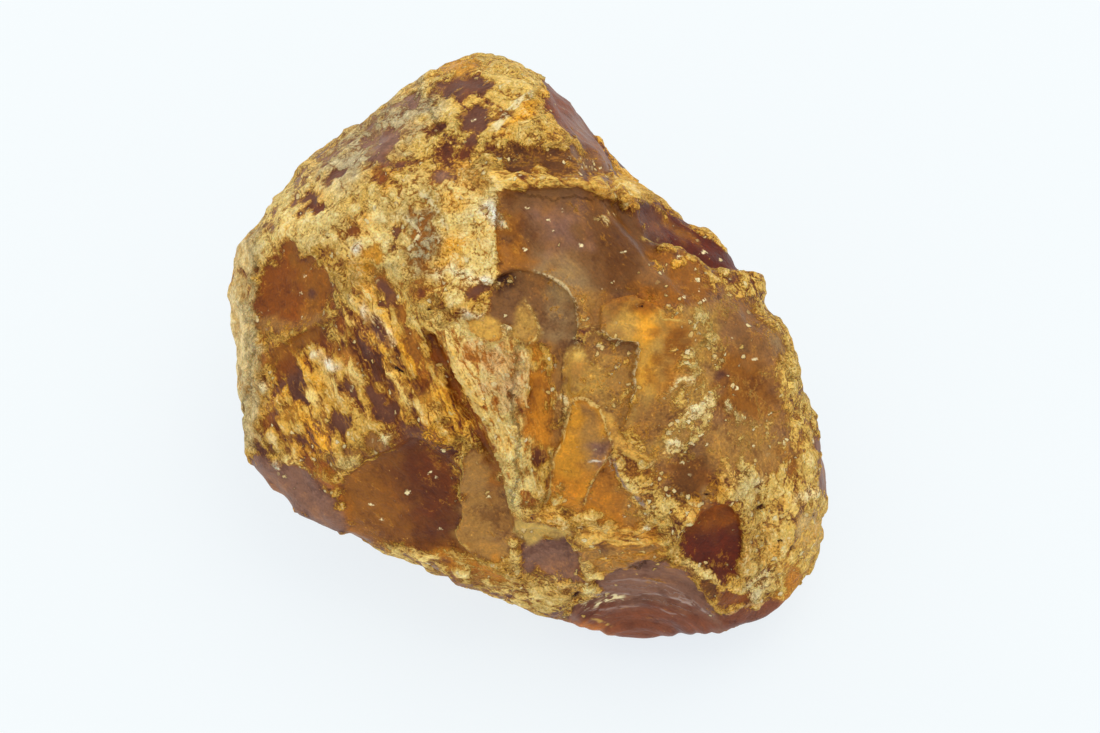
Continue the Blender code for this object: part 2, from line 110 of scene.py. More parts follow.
FIELDS = [
    Field("upper bank", "straw", 0.48, 6.0, [
        (-38, 8), (-30, 24), (-16, 36), (-10, 30), (-16, 20), (-28, 14)]),
    Field("pale bank", "butter", 0.9, 3.0, [
        (-37, 10), (-35, 17), (-29, 24), (-24, 25.4), (-24.6, 13), (-28, 13.4), (-33, 12.4)]),
    Field("knob", "straw", 0.68, 4.0, [
        (-16, 32), (-8, 38), (1, 36), (3, 30), (-2, 24), (-12, 23), (-19, 26)]),
    Field("upper centre, gaps", "hazel", -0.2, 4.0, UPPER_CENTRE),
    Field("upper centre", "butter", 0.85, 4.0, UPPER_CENTRE),
    Field("orange patch", "saffron", 1.2, 2.0, [
        (-12.9, 9.2), (-13, 13.6), (-8, 14.8), (-4.4, 14.2), (-4.4, 9.2)]),
    Field("grey patch", "khaki", 0.5, 2.6, [
        (-16.4, 8), (-17, 17), (-14, 20.6), (-11, 19.4), (-11, 11), (-12.4, 8)]),
    Field("grey stretch of the bank", "dust", 0.7, 4.0, [
        (-28, 22), (-22, 28.6), (-14, 33), (-12, 30.4), (-17, 25), (-24, 20)]),
    Field("grey heart", "dust", 0.4, 2.0, [
        (-15.4, 9), (-15.2, 17), (-13.4, 18), (-12, 14), (-12.4, 9)]),
    Field("left slope", "ochre", 0.34, 5.0, [
        (-34, 3), (-26, 12), (-14, 7), (-7, 4), (-3, -8), (-4, -22), (-16, -12), (-30, -20),
        (-37, -12)]),
    Field("upper slope", "straw", 0.38, 5.0, [(-27, 1), (-26, 9), (-13, 8), (-9, 2), (-18, 1)]),
    Field("left rim", "rim", 1.3, 2.0, [
        (-40, -14), (-40, 16), (-34, 20), (-34.8, 8), (-34.2, -3), (-34.4, -8), (-34.9, -12.6)]),
    Field("crest, gaps", "rust", -0.2, 3.0, CREST),
    Field("crest", "butter", 0.62, 3.0, CREST),
    Field("pink granules", "peach", 0.5, 3.0, [
        (-9.4, 0.6), (-4, 1), (-1.2, -2), (-1.2, -9), (-6, -5)]),
    Field("crumbs of the right bank", "khaki", 0.3, 4.0, [
        (16, 7), (24, 8), (33, -12), (15, -18), (19, -5)]),
    Field("right bank", "umber", -0.6, 4.0, [
        (16, 7), (24, 8), (30, 2), (33, -12), (23, -15), (15, -18), (14, -11), (19, -5)]),
    Field("column by the shelf", "tan", -0.5, 3.0, [
        (18.4, 5.4), (23.6, 5.6), (22, 1), (21.8, -6), (18.6, -11), (15, -14), (14, -12), (18, -8),
        (19.6, -3)]),
    Field("right shoulder", "straw", 0.4, 2.0, [
        (22, 9.8), (28.4, 9.2), (34, 1), (36.8, -11), (34.6, -14), (31, -6), (30.4, 2), (26, 6)]),
    Field("right crust", "straw", 0.45, 3.0, [
        (23, -15), (29.6, -14.6), (34, -12), (36.6, -12), (37, -20), (35.6, -25), (31.6, -32),
        (25, -31.6), (26, -22)]),
    Field("granular band", "straw", 0.45, 2.0, [
        (12.6, -16.6), (16, -18), (20, -19.4), (19.4, -22.4), (16, -23.4), (13, -21)]),
    Field("lower edge", "khaki", 0.15, 2.0, [
        (-22, -24.4), (-9, -25.4), (-2, -28), (4, -31), (4, -37), (-14, -30), (-24, -27)]),
    Field("left hollow", "russet", -1.15, 2.4, [
        (-35, 9.4), (-34, 10.8), (-32.3, 12.2), (-31, 12.6), (-28.9, 11.8), (-27.8, 10.8),
        (-26.9, 9.4), (-26.1, 7.8), (-26.1, 5.8), (-26.4, 3.5), (-30, 3.4), (-34.5, 4.2)]),
    Field("left hollow, right half", "hazel", -0.9, 3.0, [
        (-30.4, 12.4), (-28, 11), (-26, 8), (-26.2, 4.2), (-29.4, 3.6)]),
    Field("band under the hollow", "bronze", -0.4, 1.4, [
        (-34.8, 4), (-30, 3.7), (-25.6, 4.2), (-26.4, 3), (-30.4, 2.4), (-34.4, 1.6)]),
    Field("left band", "hazel", -0.8, 1.2, [
        (-34, -1.4), (-30.6, 2), (-25.6, 3.2), (-26, 2.2), (-28.4, 0.8), (-30.8, -1.8), (-33, -3.4)]),
    Field("left lower patch", "plum", -1.2, 1.6, [
        (-31.8, -2.6), (-29, -2.8), (-28.8, -5.5), (-27.2, -6.7), (-27.4, -7.1), (-30, -6.6),
        (-31.6, -5)]),
    Field("speckled patch", "rust", -0.15, 1.5, [
        (-29.3, -14.6), (-26.4, -14.8), (-24.4, -15.6), (-24.1, -18.4), (-27.4, -16.4)]),
    # Partly painted reflection: mauve where the pale surroundings reflect in this grazing facet.
    Field("grazing left facet", "mauve", -1.4, 1.4, [
        (-34.8, -12.9), (-32.4, -14), (-29.3, -14.8), (-27.8, -16.3), (-25.5, -18),
        (-24.1, -20.1), (-23.6, -22), (-25, -23.4), (-28.5, -21.8), (-31.4, -19.2), (-34.4, -16.6),
        (-36, -14)]),
    Field("chocolate window", "hazel", -1.0, 1.9, [
        (-24.1, -15.5), (-22.8, -14.4), (-20.9, -13.2), (-19, -12.5), (-16.1, -11.9),
        (-15.1, -10.6), (-13.6, -11.3), (-12.6, -12.4), (-11.6, -14.4), (-10.2, -15.8),
        (-9.7, -18), (-9.6, -21), (-10.3, -23), (-9, -25.4), (-12.8, -25.1), (-15.1, -24.5),
        (-23.7, -24.1), (-23.5, -22), (-23.7, -20.1), (-24.1, -17.8)]),
    Field("chocolate window, dark side", "burgundy", -1.1, 7.0, [
        (-17, -10), (-13, -10), (-9, -16), (-9, -24), (-15, -25), (-18, -16)]),
    Field("tan flake", "fawn", -1.0, 0.9, [
        (-9.2, -14), (-8.8, -18), (-9.4, -20.5), (-10.1, -23.2), (-9.4, -24.5), (-8.2, -25.5),
        (-5, -26.6), (-3.4, -25.6), (-2.8, -23.6), (-2.9, -21), (-3.5, -19), (-4.2, -16),
        (-5.2, -12.6), (-8, -12.8)]),
    Field("tan flake, light side", "fawn", -1.0, 1.4, [
        (-9.4, -14), (-9, -18), (-9.6, -20.5), (-10.3, -23.2), (-9.2, -25), (-8.2, -23),
        (-7.8, -18), (-8, -13.5)]),
    Field("tan flake, orange stripe", "hazel", -1.0, 1.6, [
        (-6.6, -12.4), (-4.8, -12.4), (-3.6, -17), (-5.6, -19)]),
    Field("tan flake, grey side", "bronze", -1.0, 1.6, [
        (-5.4, -18), (-3, -18), (-2.6, -24), (-5, -24)]),
    Field("lower left band", "amber", -0.2, 1.6, [
        (-12.8, -25.2), (-9, -25.6), (-4.4, -26.6), (-3.4, -28.2), (-5.4, -29.6), (-9.2, -28.8),
        (-11.4, -27)]),
    Field("burgundy band", "chocolate", -0.85, 1.5, [
        (-5.2, 24.9), (-3, 25.6), (0.6, 25.4), (4, 25.2), (6.4, 23.9), (8, 21.8), (3.6, 21.8),
        (-0.4, 21.6), (-4.4, 22.3)]),
    Field("burgundy band, gap", "ochre", 0.1, 1.0, [
        (-0.4, 21.6), (-0.2, 24.4), (0.6, 24.4), (0.8, 21.6)]),
    Field("burgundy band, grey end", "cocoa", -0.7, 1.6, [
        (4.6, 25.2), (9.4, 24.6), (9.6, 22), (5, 22.4)]),
    Field("mauve facet", "brick", -1.3, 1.2, [
        (0.6, 33.6), (2.5, 33.4), (4.4, 32.4), (6, 30.4), (7.6, 27.8), (9.4, 25.2), (10.8, 22.6),
        (8, 24.3), (5, 26.8), (3, 28.7), (1.8, 30.4)]),
    # Partly painted reflection: mauve from the pale surroundings on the foot of this grazing facet.
    Field("mauve facet, foot", "mauve", -1.2, 2.6, [
        (6, 30), (7.8, 27.6), (9.2, 25.2), (10.6, 22.6), (8, 24), (5.4, 26.6), (4.8, 28.6)]),
    Field("upper slab", "cocoa", -1.1, 1.2, [
        (-4.8, 19.2), (-2, 19.6), (4, 20.2), (9, 19), (12.8, 16.4), (15.2, 13.6), (15, 10),
        (12.6, 6.9), (8, 6.2), (5.6, 7.2), (1, 9.9), (-3.4, 10.2), (-4.3, 14.6)]),
    Field("upper slab, right side", "chocolate", -1.1, 6.0, [
        (6.6, 20), (12.8, 16.4), (15.2, 13.6), (15, 10), (12, 7.4), (8.6, 8), (6.4, 13)]),
    # Painted sheen on the upper slab: a pale grey foot and a mauve stretch above it, where the pale
    # surroundings reflect.
    Field("upper slab, grey foot", "smoke", -1.0, 4.0, [
        (-0.6, 11.6), (5, 11.6), (7, 7), (4, 6), (-1, 9.6)]),
    Field("upper slab, painted_sheen", "mauve", -1.1, 5.0, [(0, 17), (5, 17.6), (6, 13), (2, 12.4)]),
    Field("upper slab, left column", "hazel", -1.0, 3.0, [
        (-4.2, 19.4), (-3, 19.4), (-1.4, 14), (0, 9.6), (-4.2, 9.8)]),
    Field("upper slab, lit foot", "copper", -0.9, 3.0, [
        (-5, 14), (-2.6, 13.6), (-1.8, 9.4), (-5, 9.4)]),
    Field("orange patch, right end", "butter", 1.0, 1.0, [
        (-9, 15.6), (-5, 15.6), (-4.7, 9.2), (-9, 8.8)]),
    Field("upper right strip", "oxblood", -1.1, 0.7, [
        (12.8, 18.4), (16, 17.8), (21, 14.2), (27.6, 9.8), (24.4, 9.9), (21.6, 10.2),
        (18.8, 12.7), (15.4, 13.6), (13.2, 16.4)]),
    Field("upper right strip, left end", "plum", -1.2, 2.0, [
        (12.6, 18.4), (15.4, 17.8), (16.4, 14), (15, 13.6), (13, 16.4)]),
    Field("olive slab", "hazel", -1.05, 1.0, [
        (14, 12.6), (18, 12), (20.6, 10.4), (22.4, 8), (21, 5.4), (16, 5.6), (13.6, 7)]),
    Field("olive slab, dark end", "cocoa", -1.05, 1.6, [
        (13.4, 11.4), (16.4, 10.8), (16.4, 7.4), (13.2, 7.4)]),
    Field("beside the scallop", "fawn", -0.8, 1.2, [
        (4.4, 7.4), (8.6, 7), (8.2, 2.4), (6.4, 2.4), (5, 2), (5, 4.6)]),
    Field("scallop", "cocoa", -1.0, 0.6, [
        (-5.4, 8.1), (-4.4, 9.4), (-2.6, 10), (-0.8, 9.8), (1.2, 8.9), (3, 7.9), (4.4, 6.5),
        (4.9, 4.7), (4.9, 2.6), (5, 0.6), (3.4, -0.6), (0.6, 0.8), (-3, 1.6), (-5.4, 4)]),
    Field("scallop, grey side", "smoke", -0.9, 3.0, [
        (1.2, 9.2), (3, 7.9), (4.9, 5), (4.9, 1), (2.4, 0.6), (1.8, 4)]),
    Field("scallop, dark oval", "cocoa", -1.3, 1.2, [
        (-5.3, 6.2), (-3.8, 7), (-2.4, 5.6), (-2.6, 3.6), (-4.6, 3.4)]),
    Field("scallop, dark corner", "bark", -0.6, 1.4, [
        (-5.6, 7.8), (-4.6, 9.3), (-3, 9.6), (-2.8, 8.2), (-4.6, 7)]),
    Field("petal", "tan", -0.9, 0.8, [
        (-3.3, 1.7), (-2.2, 1.1), (-0.8, 0.7), (0.1, 1), (0.6, 2.2), (0.5, 3.3), (-0.1, 4.6),
        (-1.4, 6.2), (-2.2, 5.2), (-2.6, 3.4)]),
    Field("petal, lit foot", "tan", -0.9, 1.6, [
        (-3, 1.8), (-1, 0.7), (0.5, 1.7), (0.5, 3.3), (-1, 2.9)]),
    Field("second scallop", "ochre", -0.9, 0.6, [
        (-8.6, 3.3), (-8.3, 2.2), (-7.4, 1.5), (-6.1, 1.1), (-4.7, 1), (-4, 1.7), (-4.4, 3.4),
        (-6, 4.2)]),
    Field("orange column", "amber", -0.8, 2.2, [
        (-0.3, 0.4), (1.2, 0.2), (2.0, -4), (2.4, -8), (1.6, -12.4), (-0.9, -11.2), (-0.6, -5)]),
    Field("crack column", "bronze", -0.7, 1.6, [
        (1.7, 0.6), (4.2, 0), (3.8, -1.6), (3.9, -5.6), (3.7, -9.8), (2.2, -11.2), (2.4, -4)]),
    Field("recess", "fawn", -0.75, 0.6, [
        (5.8, 0.4), (6.7, 2.6), (9.2, 1.1), (13, 0.6), (12.9, -1.2), (12.4, -3), (12.4, -5.6),
        (11.7, -8), (10.6, -9.8), (8.8, -8), (6.6, -6.4), (5, -6.2)]),
    Field("recess, olive side", "tan", -0.7, 3.0, [(6.6, -2), (9, -1.6), (9, -6), (6.4, -6)]),
    # Painted shadow under the shelf's edge, along the top of the recess.
    Field("recess, dark top", "cocoa", -1.0, 1.4, [
        (7, 2.2), (13, 0.8), (13, -3.4), (12, -2), (10.5, -0.4), (7, 0.2)]),
    Field("triangle", "brick", -0.45, 0.5, [(5.2, 2.5), (6.8, 2.8), (5.9, 0.4)]),
    Field("tongue", "tan", -0.9, 1.2, [
        (3.5, -0.8), (3.9, -0.1), (4.9, 0.1), (5.8, -0.5), (6.7, -1.7), (6.7, -3.9), (6.2, -5.5),
        (4, -6.7), (3.9, -3.9)]),
    Field("tongue, brown heart", "fawn", -0.9, 2.0, [
        (5, -1.6), (6.2, -2), (6.2, -4.4), (5.2, -4.6)]),
    Field("tongue, lit tip", "straw", -0.9, 1.2, [
        (3.5, -0.8), (4, 0), (5, 0.1), (6, -0.9), (4.6, -1.2)]),
    Field("tongue, foot", "ochre", -0.8, 1.4, [
        (4.2, -4.8), (6, -4.8), (6.4, -5.8), (5, -6.4), (4, -6.2)]),
    Field("butterscotch shelf", "tan", -1.1, 0.5, [
        (8, 2.4), (8.3, 5.5), (10, 6.3), (12.3, 6.8), (15.2, 5.5), (18.4, 3.6), (19.5, 1),
        (18.8, -4), (17, -8), (14, -10), (11.2, -9.6), (12.2, -7), (12.5, -5), (12.4, -3),
        (13, -0.3), (12.8, 0.7), (9.5, 1.2)]),
    Field("shelf, bright strip", "honey", -1.1, 2.6, [
        (12.4, 4.8), (15, 4.4), (15.4, -1), (14.6, -5.4), (12.8, -6), (12.6, -3), (13.2, 0)]),
    Field("shelf, soft top", "hazel", -0.8, 2.6, [
        (7.6, 3.6), (8.4, 6.6), (13, 7.8), (16, 6.6), (14.4, 5.6), (10.8, 5)]),
    Field("shelf, left end", "bronze", -0.9, 3.0, [(7, 2), (7.6, 5.6), (9.4, 6), (9.6, 1)]),
    Field("shelf, right side", "copper", -0.8, 4.0, [
        (15.6, 4), (18.8, 3.4), (19.4, -1), (18.6, -5), (15.6, -5)]),
    Field("shelf, rust heart", "hazel", -0.9, 1.8, [
        (15.9, 2.6), (18.4, 2.6), (18.6, -0.8), (16.2, -1)]),
    Field("shelf, foot", "bronze", -0.6, 3.4, [
        (12.4, -6.4), (17.6, -6), (16.6, -10), (14, -11), (11.6, -9.8)]),
    Field("strip under the second blade", "hazel", -0.55, 1.4, [
        (9.8, -13), (12, -13.8), (15.4, -15), (15, -16.2), (11.6, -15.4)]),
    Field("second blade", "saffron", -0.8, 0.5, [
        (8.2, -7.6), (9.4, -8.4), (10.4, -10), (12, -11.6), (13, -12.8), (14.6, -13.6),
        (14.2, -14.4), (11.9, -13.5), (9.9, -12.7), (9, -10.6)]),
    Field("blade", "caramel", -1.0, 0.5, [
        (4.2, -6.3), (5.4, -5.9), (7.2, -6.6), (8.3, -7.5), (8.8, -9.1), (9.5, -11.6),
        (9.7, -12.7), (9, -14.1), (7.4, -16.1), (6.3, -18.4), (5.6, -20), (1.1, -19.5),
        (1.9, -17.2), (2, -14.5), (2.9, -12), (3.8, -9.9), (4, -7.9)]),
    Field("blade, mauve side", "fawn", -1.2, 2.0, [
        (5.8, -8), (8, -8), (9.4, -11.6), (9.5, -12.9), (7.5, -15.8), (6.3, -16), (6, -12)]),
    Field("blade, dark corner", "mauve", -1.2, 2.0, [
        (7, -12.2), (9, -11.8), (9.6, -13), (8, -14.6)]),
    Field("hollow over the blade", "bronze", -0.7, 1.0, [
        (5.4, -6.9), (7.4, -7.3), (8.4, -8.8), (8, -9.4), (5.8, -8.4)]),
    Field("blade, foot", "amber", -1.0, 3.0, [
        (1.4, -15.6), (7, -16), (5.6, -20), (1.2, -19.6)]),
    Field("rust wedge", "copper", -1.0, 0.8, [
        (9.4, -13.6), (10.1, -15.6), (11.9, -18.1), (13.3, -20.8), (13.6, -22.5), (10.1, -22.9),
        (7.2, -21.6), (5.8, -20), (6.5, -18.1), (7.6, -15.9)]),
    Field("rust wedge, foot", "amber", -1.0, 2.4, [
        (6, -19.2), (9.6, -19), (10.4, -22.8), (7, -21.8)]),
    Field("rust wedge, pale side", "fawn", -0.5, 1.8, [
        (10.8, -17.2), (12.2, -18.2), (13.6, -21), (13.6, -22.6), (12.2, -22.2), (11.2, -20)]),
    Field("streaked foot", "honey", 0.0, 2.0, [(5, -21.6), (15, -22), (16, -26), (8, -27)]),
    Field("streaked foot, lower part", "fawn", -0.4, 1.8, [
        (5, -23), (9, -24), (14.6, -24), (17, -23.8), (15.4, -26.6), (12, -27.4), (8, -28.6),
        (5.6, -26)]),
    Field("foot, yellow streak", "saffron", 0.45, 1.8, [
        (5.6, -21.8), (13, -22.4), (13.4, -23.9), (6.4, -24.6)]),
    Field("right pool", "hazel", -1.0, 3.4, [
        (22.2, -0.6), (25.6, 0.6), (28.6, -2), (30.2, -7), (29, -9.4), (24, -9.6), (22.2, -6)]),
    Field("upper right pool", "cocoa", -1.0, 2.6, [
        (23.4, 5.4), (26, 6.2), (28.6, 3.6), (29.6, 0.4), (28, -1.6), (25, 0.4), (23.4, 2.4)]),
    Field("lower right bank", "fawn", -0.65, 2.6, [
        (21, -9.4), (30, -9), (32, -14), (25, -15), (21, -14)]),
    Field("middle right pool", "chocolate", -0.9, 2.2, [
        (15.8, -14.6), (18.4, -12), (21.8, -13.4), (22.2, -16.4), (21, -19.4), (17.4, -18.8)]),
    Field("burgundy hollow", "oxblood", -1.1, 1.4, [
        (21.2, -20.1), (22.7, -19.4), (25, -19.6), (25.4, -20.9), (25.8, -23.2), (25.8, -26.1),
        (25.4, -28), (24.2, -28.9), (22.7, -28.6), (21.6, -27.6), (19.6, -26.7), (18.5, -25.1),
        (18.3, -23.2), (19.1, -21.7)]),
    Field("burgundy hollow, top", "russet", -1.2, 3.0, [
        (18.4, -21.7), (21.2, -19), (25.2, -18.8), (25.2, -22), (21, -22.8)]),
    Field("strip beside the hollow", "ochre", 0.3, 0.8, [
        (25.6, -19.6), (26.6, -20), (27, -25), (26.6, -29), (25.6, -28.6), (26, -24)]),
    Field("lower pool", "mauve", -1.0, 1.6, [
        (-1.8, -24.5), (0.5, -23.7), (3.2, -23.5), (4.9, -24.3), (5.3, -25.6), (6.1, -27.2),
        (5.9, -28.7), (4.4, -29.1), (1.9, -28.3), (0.5, -28.3), (-1.6, -27.2)]),
    Field("butter scale", "khaki", -1.0, 0.5, [
        (-2.8, -22.7), (-2.4, -21.3), (0.8, -21.8), (4, -22.5), (4.7, -23.4), (1.1, -23.5),
        (-0.8, -24.4), (-1.9, -23.8)]),
    # Partly painted reflection: a mauve sheen of the pale surroundings on this grazing face.
    Field("rippled face", "mauve", -1.2, 1.0, [
        (4, -33.6), (5.5, -31.8), (8.6, -30.4), (7.6, -29), (10, -27.5), (13, -26.5),
        (15.8, -26.5), (18.3, -27.6), (20, -29.5), (22.7, -33.2), (24.4, -34.6), (20, -39),
        (6, -39)]),
    Field("rippled face, foot", "brick", -1.3, 2.4, [
        (2, -40), (4.4, -33.6), (8, -31.8), (14, -31.4), (20, -32.6), (24, -35.6), (20, -40)]),
    Field("rippled face, toe", "rust", -1.0, 1.4, [
        (3.6, -34), (8, -34.4), (9.4, -36), (6, -37.5), (2, -35)]),
    Field("bottom right facet", "brick", -1.3, 1.2, [
        (22.7, -33.5), (26.5, -32.2), (29.2, -31.2), (31.9, -31), (31.1, -32.8), (28, -34.4),
        (23.5, -35)]),
    Field("second right window", "russet", -1.2, 0.8, [
        (22.3, -31.2), (24, -30.2), (26.7, -30.4), (26.4, -31.6), (23.4, -32)]),
    # Partly painted reflection: mauve from the pale surroundings on this grazing strip at the edge.
    Field("right edge strip", "mauve", -1.2, 0.8, [
        (35.4, -11), (36.4, -11.6), (38.6, -16), (38.4, -21), (36.7, -20), (35.6, -16)]),
    Field("right lower facet", "rim", -0.3, 1.4, [
        (32.7, -20.4), (35.7, -19.6), (36.2, -23), (33.8, -26.4), (32.4, -24.4)]),
    Field("right foot", "amber", -0.1, 1.6, [
        (31, -26.4), (33.6, -26), (34.6, -29), (31.4, -32), (30, -31)]),
]

# Ovals of bare amber (cover below 0) or crust (above 0), each as its middle's across and up, half
# its length, half its width, and its turn in degrees.
Spots = namedtuple("Spots", "tone cover edge ovals")

SPOTS = [
    Spots("plum", -1.2, 1.6, [
        (-8.2, 33.0, 2.2, 1.2, 10), (-11.2, 32.6, 1.5, 0.7, 10), (-7.9, 28.8, 1.8, 1.5, 20),
        (-8.0, 26.0, 0.8, 0.6, 0), (-18.6, 24.7, 1.1, 0.8, 30), (-7.3, 7.4, 1.5, 0.8, 26)]),
    Spots("plum", -0.95, 1.2, [
        (-25.4, 22.0, 1.4, 0.5, 25), (-27.8, 18.9, 1.0, 0.5, 30), (-16.8, 23.2, 1.0, 0.6, 20),
        (-28.0, 7.0, 0.6, 0.5, 0), (-17.6, 13.9, 0.5, 1.5, 0), (-21.2, -0.8, 2.0, 0.45, -66),
        (-19.4, 2.0, 1.4, 0.6, -55), (-18.9, -7.4, 2.2, 1.1, -55),
        (-20.8, -5.0, 0.9, 0.5, -40), (-23.6, -4.5, 1.2, 0.5, -48), (-24.4, -9.0, 1.5, 1.2, -20),
        (-26.9, -10.8, 2.2, 0.35, -66), (-14.6, -10.6, 2.2, 0.9, -14), (-32.4, -4.8, 0.8, 0.6, 40),
        (-29.6, -10.8, 1.1, 0.7, -20), (-18.9, 7.2, 2.4, 0.8, -56), (-30.2, -4.6, 1.6, 0.9, -60),
        (-33.6, -12.5, 1.4, 0.5, -16), (23.4, -3.4, 1.0, 0.6, 0), (24.8, 8.8, 0.7, 0.6, 0)]),
    Spots("burgundy", -0.9, 1.4, [
        (-11.1, 24.7, 1.4, 1.1, 0), (-12.3, 27.6, 1.4, 0.5, 30), (-10.4, 26.0, 1.2, 0.5, -30),
        (-27.5, 17.7, 1.3, 0.4, 10), (-14.5, 7.3, 0.8, 0.7, 0), (-7.3, 24.8, 1.9, 0.4, 8),
        (-3.0, -6.0, 0.8, 0.6, 0), (4.8, -30.7, 0.9, 0.4, 0), (0.4, -14.0, 1.8, 0.5, -70)]),
    Spots("russet", -0.9, 1.4, [
        (-25.8, 0.9, 1.1, 0.5, -60), (-14.2, -3.8, 1.8, 0.9, -58), (-12.2, -0.8, 1.9, 0.7, -60),
        (-10.2, -4.7, 1.8, 0.6, -62), (-7.4, -9.2, 2.9, 0.8, -62), (-33.6, -9.2, 1.3, 1.0, 30),
        (-28.0, -14.0, 1.4, 0.6, -10),
        (-1.0, -19.0, 1.1, 1.0, -10), (-19.4, 21.8, 1.1, 0.8, 10), (-22.6, 15.2, 1.0, 0.7, 20),
        (-31.4, -2.0, 1.6, 0.8, 40), (-24.4, 4.0, 1.2, 0.4, -66), (-9.6, 13.0, 0.6, 0.4, 0)]),
    Spots("copper", -0.7, 1.4, [
        (-14.9, -0.4, 2.3, 0.8, -62), (-23.8, -0.8, 2.2, 0.7, -66), (-16.6, 4.0, 1.6, 0.5, -58)]),
    Spots("bronze", -0.7, 1.4, [(-20.5, -11.4, 0.9, 0.8, 0), (-22.7, -12.7, 0.9, 0.6, 0)]),
    Spots("hazel", -0.6, 1.3, [
        (-4.0, 16.0, 0.8, 1.6, 0), (31.8, -14.6, 1.4, 0.7, -60), (17.8, 15.0, 1.6, 0.5, -34),
        (-14.6, 14.6, 1.2, 0.8, 60), (-7.6, -1.2, 0.7, 0.5, 0), (-5.0, -5.0, 0.7, 0.6, 0),
        (-7.4, -28.8, 2.2, 0.7, -16), (-3.4, 30.2, 0.5, 1.6, -40)]),
    Spots("mauve", -0.3, 1.6, [
        (-19.3, 25.7, 2.9, 1.6, 26), (-26.2, 24.2, 1.9, 0.6, 34), (-29.2, 22.0, 1.9, 0.7, 44),
        (-15.6, 30.8, 2.6, 0.6, 20), (-32.6, 16.4, 2.0, 0.5, 48), (-11.8, 21.9, 1.0, 0.6, 0),
        (-21.2, 28.2, 1.5, 0.5, 34)]),
    Spots("smoke", -0.7, 1.4, [(29.9, 1.4, 2.0, 0.6, -70), (21.4, -18.6, 0.9, 1.0, 0)]),
    Spots("honey", -0.3, 1.3, [
        (-13.2, -6.0, 1.4, 0.8, 10), (-9.6, 35.6, 2.6, 0.8, 14), (-20.0, 11.6, 1.6, 1.4, 0),
        (-30.0, -8.0, 1.6, 0.9, -20)]),
    Spots("gold", 0.5, 1.0, [
        (-1.2, 29.6, 3.0, 0.7, 46), (15.3, 10.7, 0.5, 0.4, 0), (18.0, 10.6, 0.5, 0.4, 0)]),
    Spots("straw", 0.30, 1.0, [(2.0, 20.9, 8.6, 0.6, -3), (12.0, 19.2, 3.4, 0.5, -28)]),
    Spots("gold", 0.25, 1.4, [
        (-16.0, -0.6, 4.4, 0.6, -62), (-10.4, -7.6, 3.0, 0.8, -50), (-27.4, -10.6, 2.2, 0.8, -60),
        (-12.4, -10.2, 2.2, 1.4, -40), (-22.4, 2.6, 3.0, 0.5, -64)]),
    Spots("gold", 1.1, 1.6, [(-9.6, 12.6, 2.4, 0.7, 24), (-11.6, 10.8, 1.0, 0.6, 0)]),
    Spots("gold", 0.35, 2.0, [
        (-27.6, -3.6, 1.8, 0.4, -60), (-18.6, -1.6, 2.4, 0.4, -62), (-22.0, 11.4, 1.6, 0.6, -50),
        (-30.6, -6.0, 1.6, 0.4, -40)]),
    Spots("chocolate", -0.8, 1.0, [(21.6, -29.8, 1.6, 0.8, -50)]),
    Spots("butter", 0.9, 1.6, [
        (-7.2, 16.0, 1.5, 1.8, 0), (26.0, -16.8, 1.5, 2.2, 0), (-9.8, 6.2, 1.6, 0.8, -10)]),
    Spots("saffron", 0.5, 1.4, [
        (-12.3, -8.0, 1.8, 0.7, -60), (1.8, -20.4, 1.8, 0.6, -20), (1.4, -17.6, 1.3, 0.5, 76),
        (6.2, -20.9, 1.3, 0.7, 0), (18.0, -20.8, 1.3, 0.9, 0), (-10.0, 18.4, 1.6, 1.3, 0),
        (2.6, -18.6, 1.4, 0.8, 70), (6.2, -24.4, 1.3, 0.8, -30)]),
    Spots("butter", 0.5, 1.2, [
        (-22.6, 2.9, 1.4, 0.5, -60), (-22.8, -2.6, 1.4, 0.5, -60), (-18.0, -3.6, 1.2, 0.5, -60),
        (-27.8, -5.8, 1.2, 0.6, -50), (-25.6, -3.4, 2.4, 0.5, -52), (-15.6, -6.4, 1.6, 0.6, -40),
        (-22.8, -14.1, 1.0, 0.7, 10),
        (-15.8, -25.4, 3.6, 0.6, -14), (11.8, -16.8, 0.9, 0.5, -20), (3.2, -29.1, 1.4, 0.5, -16),
        (6.2, -30.0, 1.2, 0.6, -24), (0.3, -30.5, 1.1, 0.5, 0), (-3.8, -30.1, 2.2, 0.6, -18),
        (-9.6, -27.7, 0.9, 0.6, -40), (-3.0, -25.2, 1.9, 0.4, -66), (6.6, -27.5, 1.3, 0.8, -50),
        (20.4, -27.6, 1.8, 0.5, -34), (24.2, -16.0, 0.6, 1.4, 0), (-30.8, -13.4, 1.3, 0.7, -36)]),
    Spots("cream", 0.3, 1.6, [
        (8.8, 16.7, 0.5, 0.4, 0), (3.1, -7.1, 0.3, 0.3, 0), (27.4, -16.6, 0.8, 0.6, 0),
        (28.0, -29.6, 1.2, 0.5, 40), (-34.2, -4.6, 0.4, 0.7, 10), (33.8, -18.2, 0.8, 0.5, 0),
        (24.5, -7.5, 0.7, 0.4, -60), (18.2, -4.4, 1.0, 0.6, 60), (20.4, -7.6, 1.5, 0.9, 30),
        (-8.8, 9.4, 2.0, 0.5, -10), (16.8, -12.0, 1.2, 0.4, 50), (-19.0, -10.9, 0.6, 0.6, 0),
        (-3.0, 2.6, 0.3, 0.3, 0)]),
    Spots("chalk", 0.3, 1.3, [
        (-5.4, 17.0, 0.8, 1.3, 20), (-6.4, 8.6, 1.2, 0.4, -10), (-22.2, 12.4, 0.4, 0.7, 0),
        (-26.0, -1.4, 0.7, 0.2, -24), (-20.4, 3.6, 2.0, 0.25, -46), (-8.8, 4.6, 1.2, 0.4, -24),
        (-32.6, -14.3, 0.5, 0.4, 0)]),
]

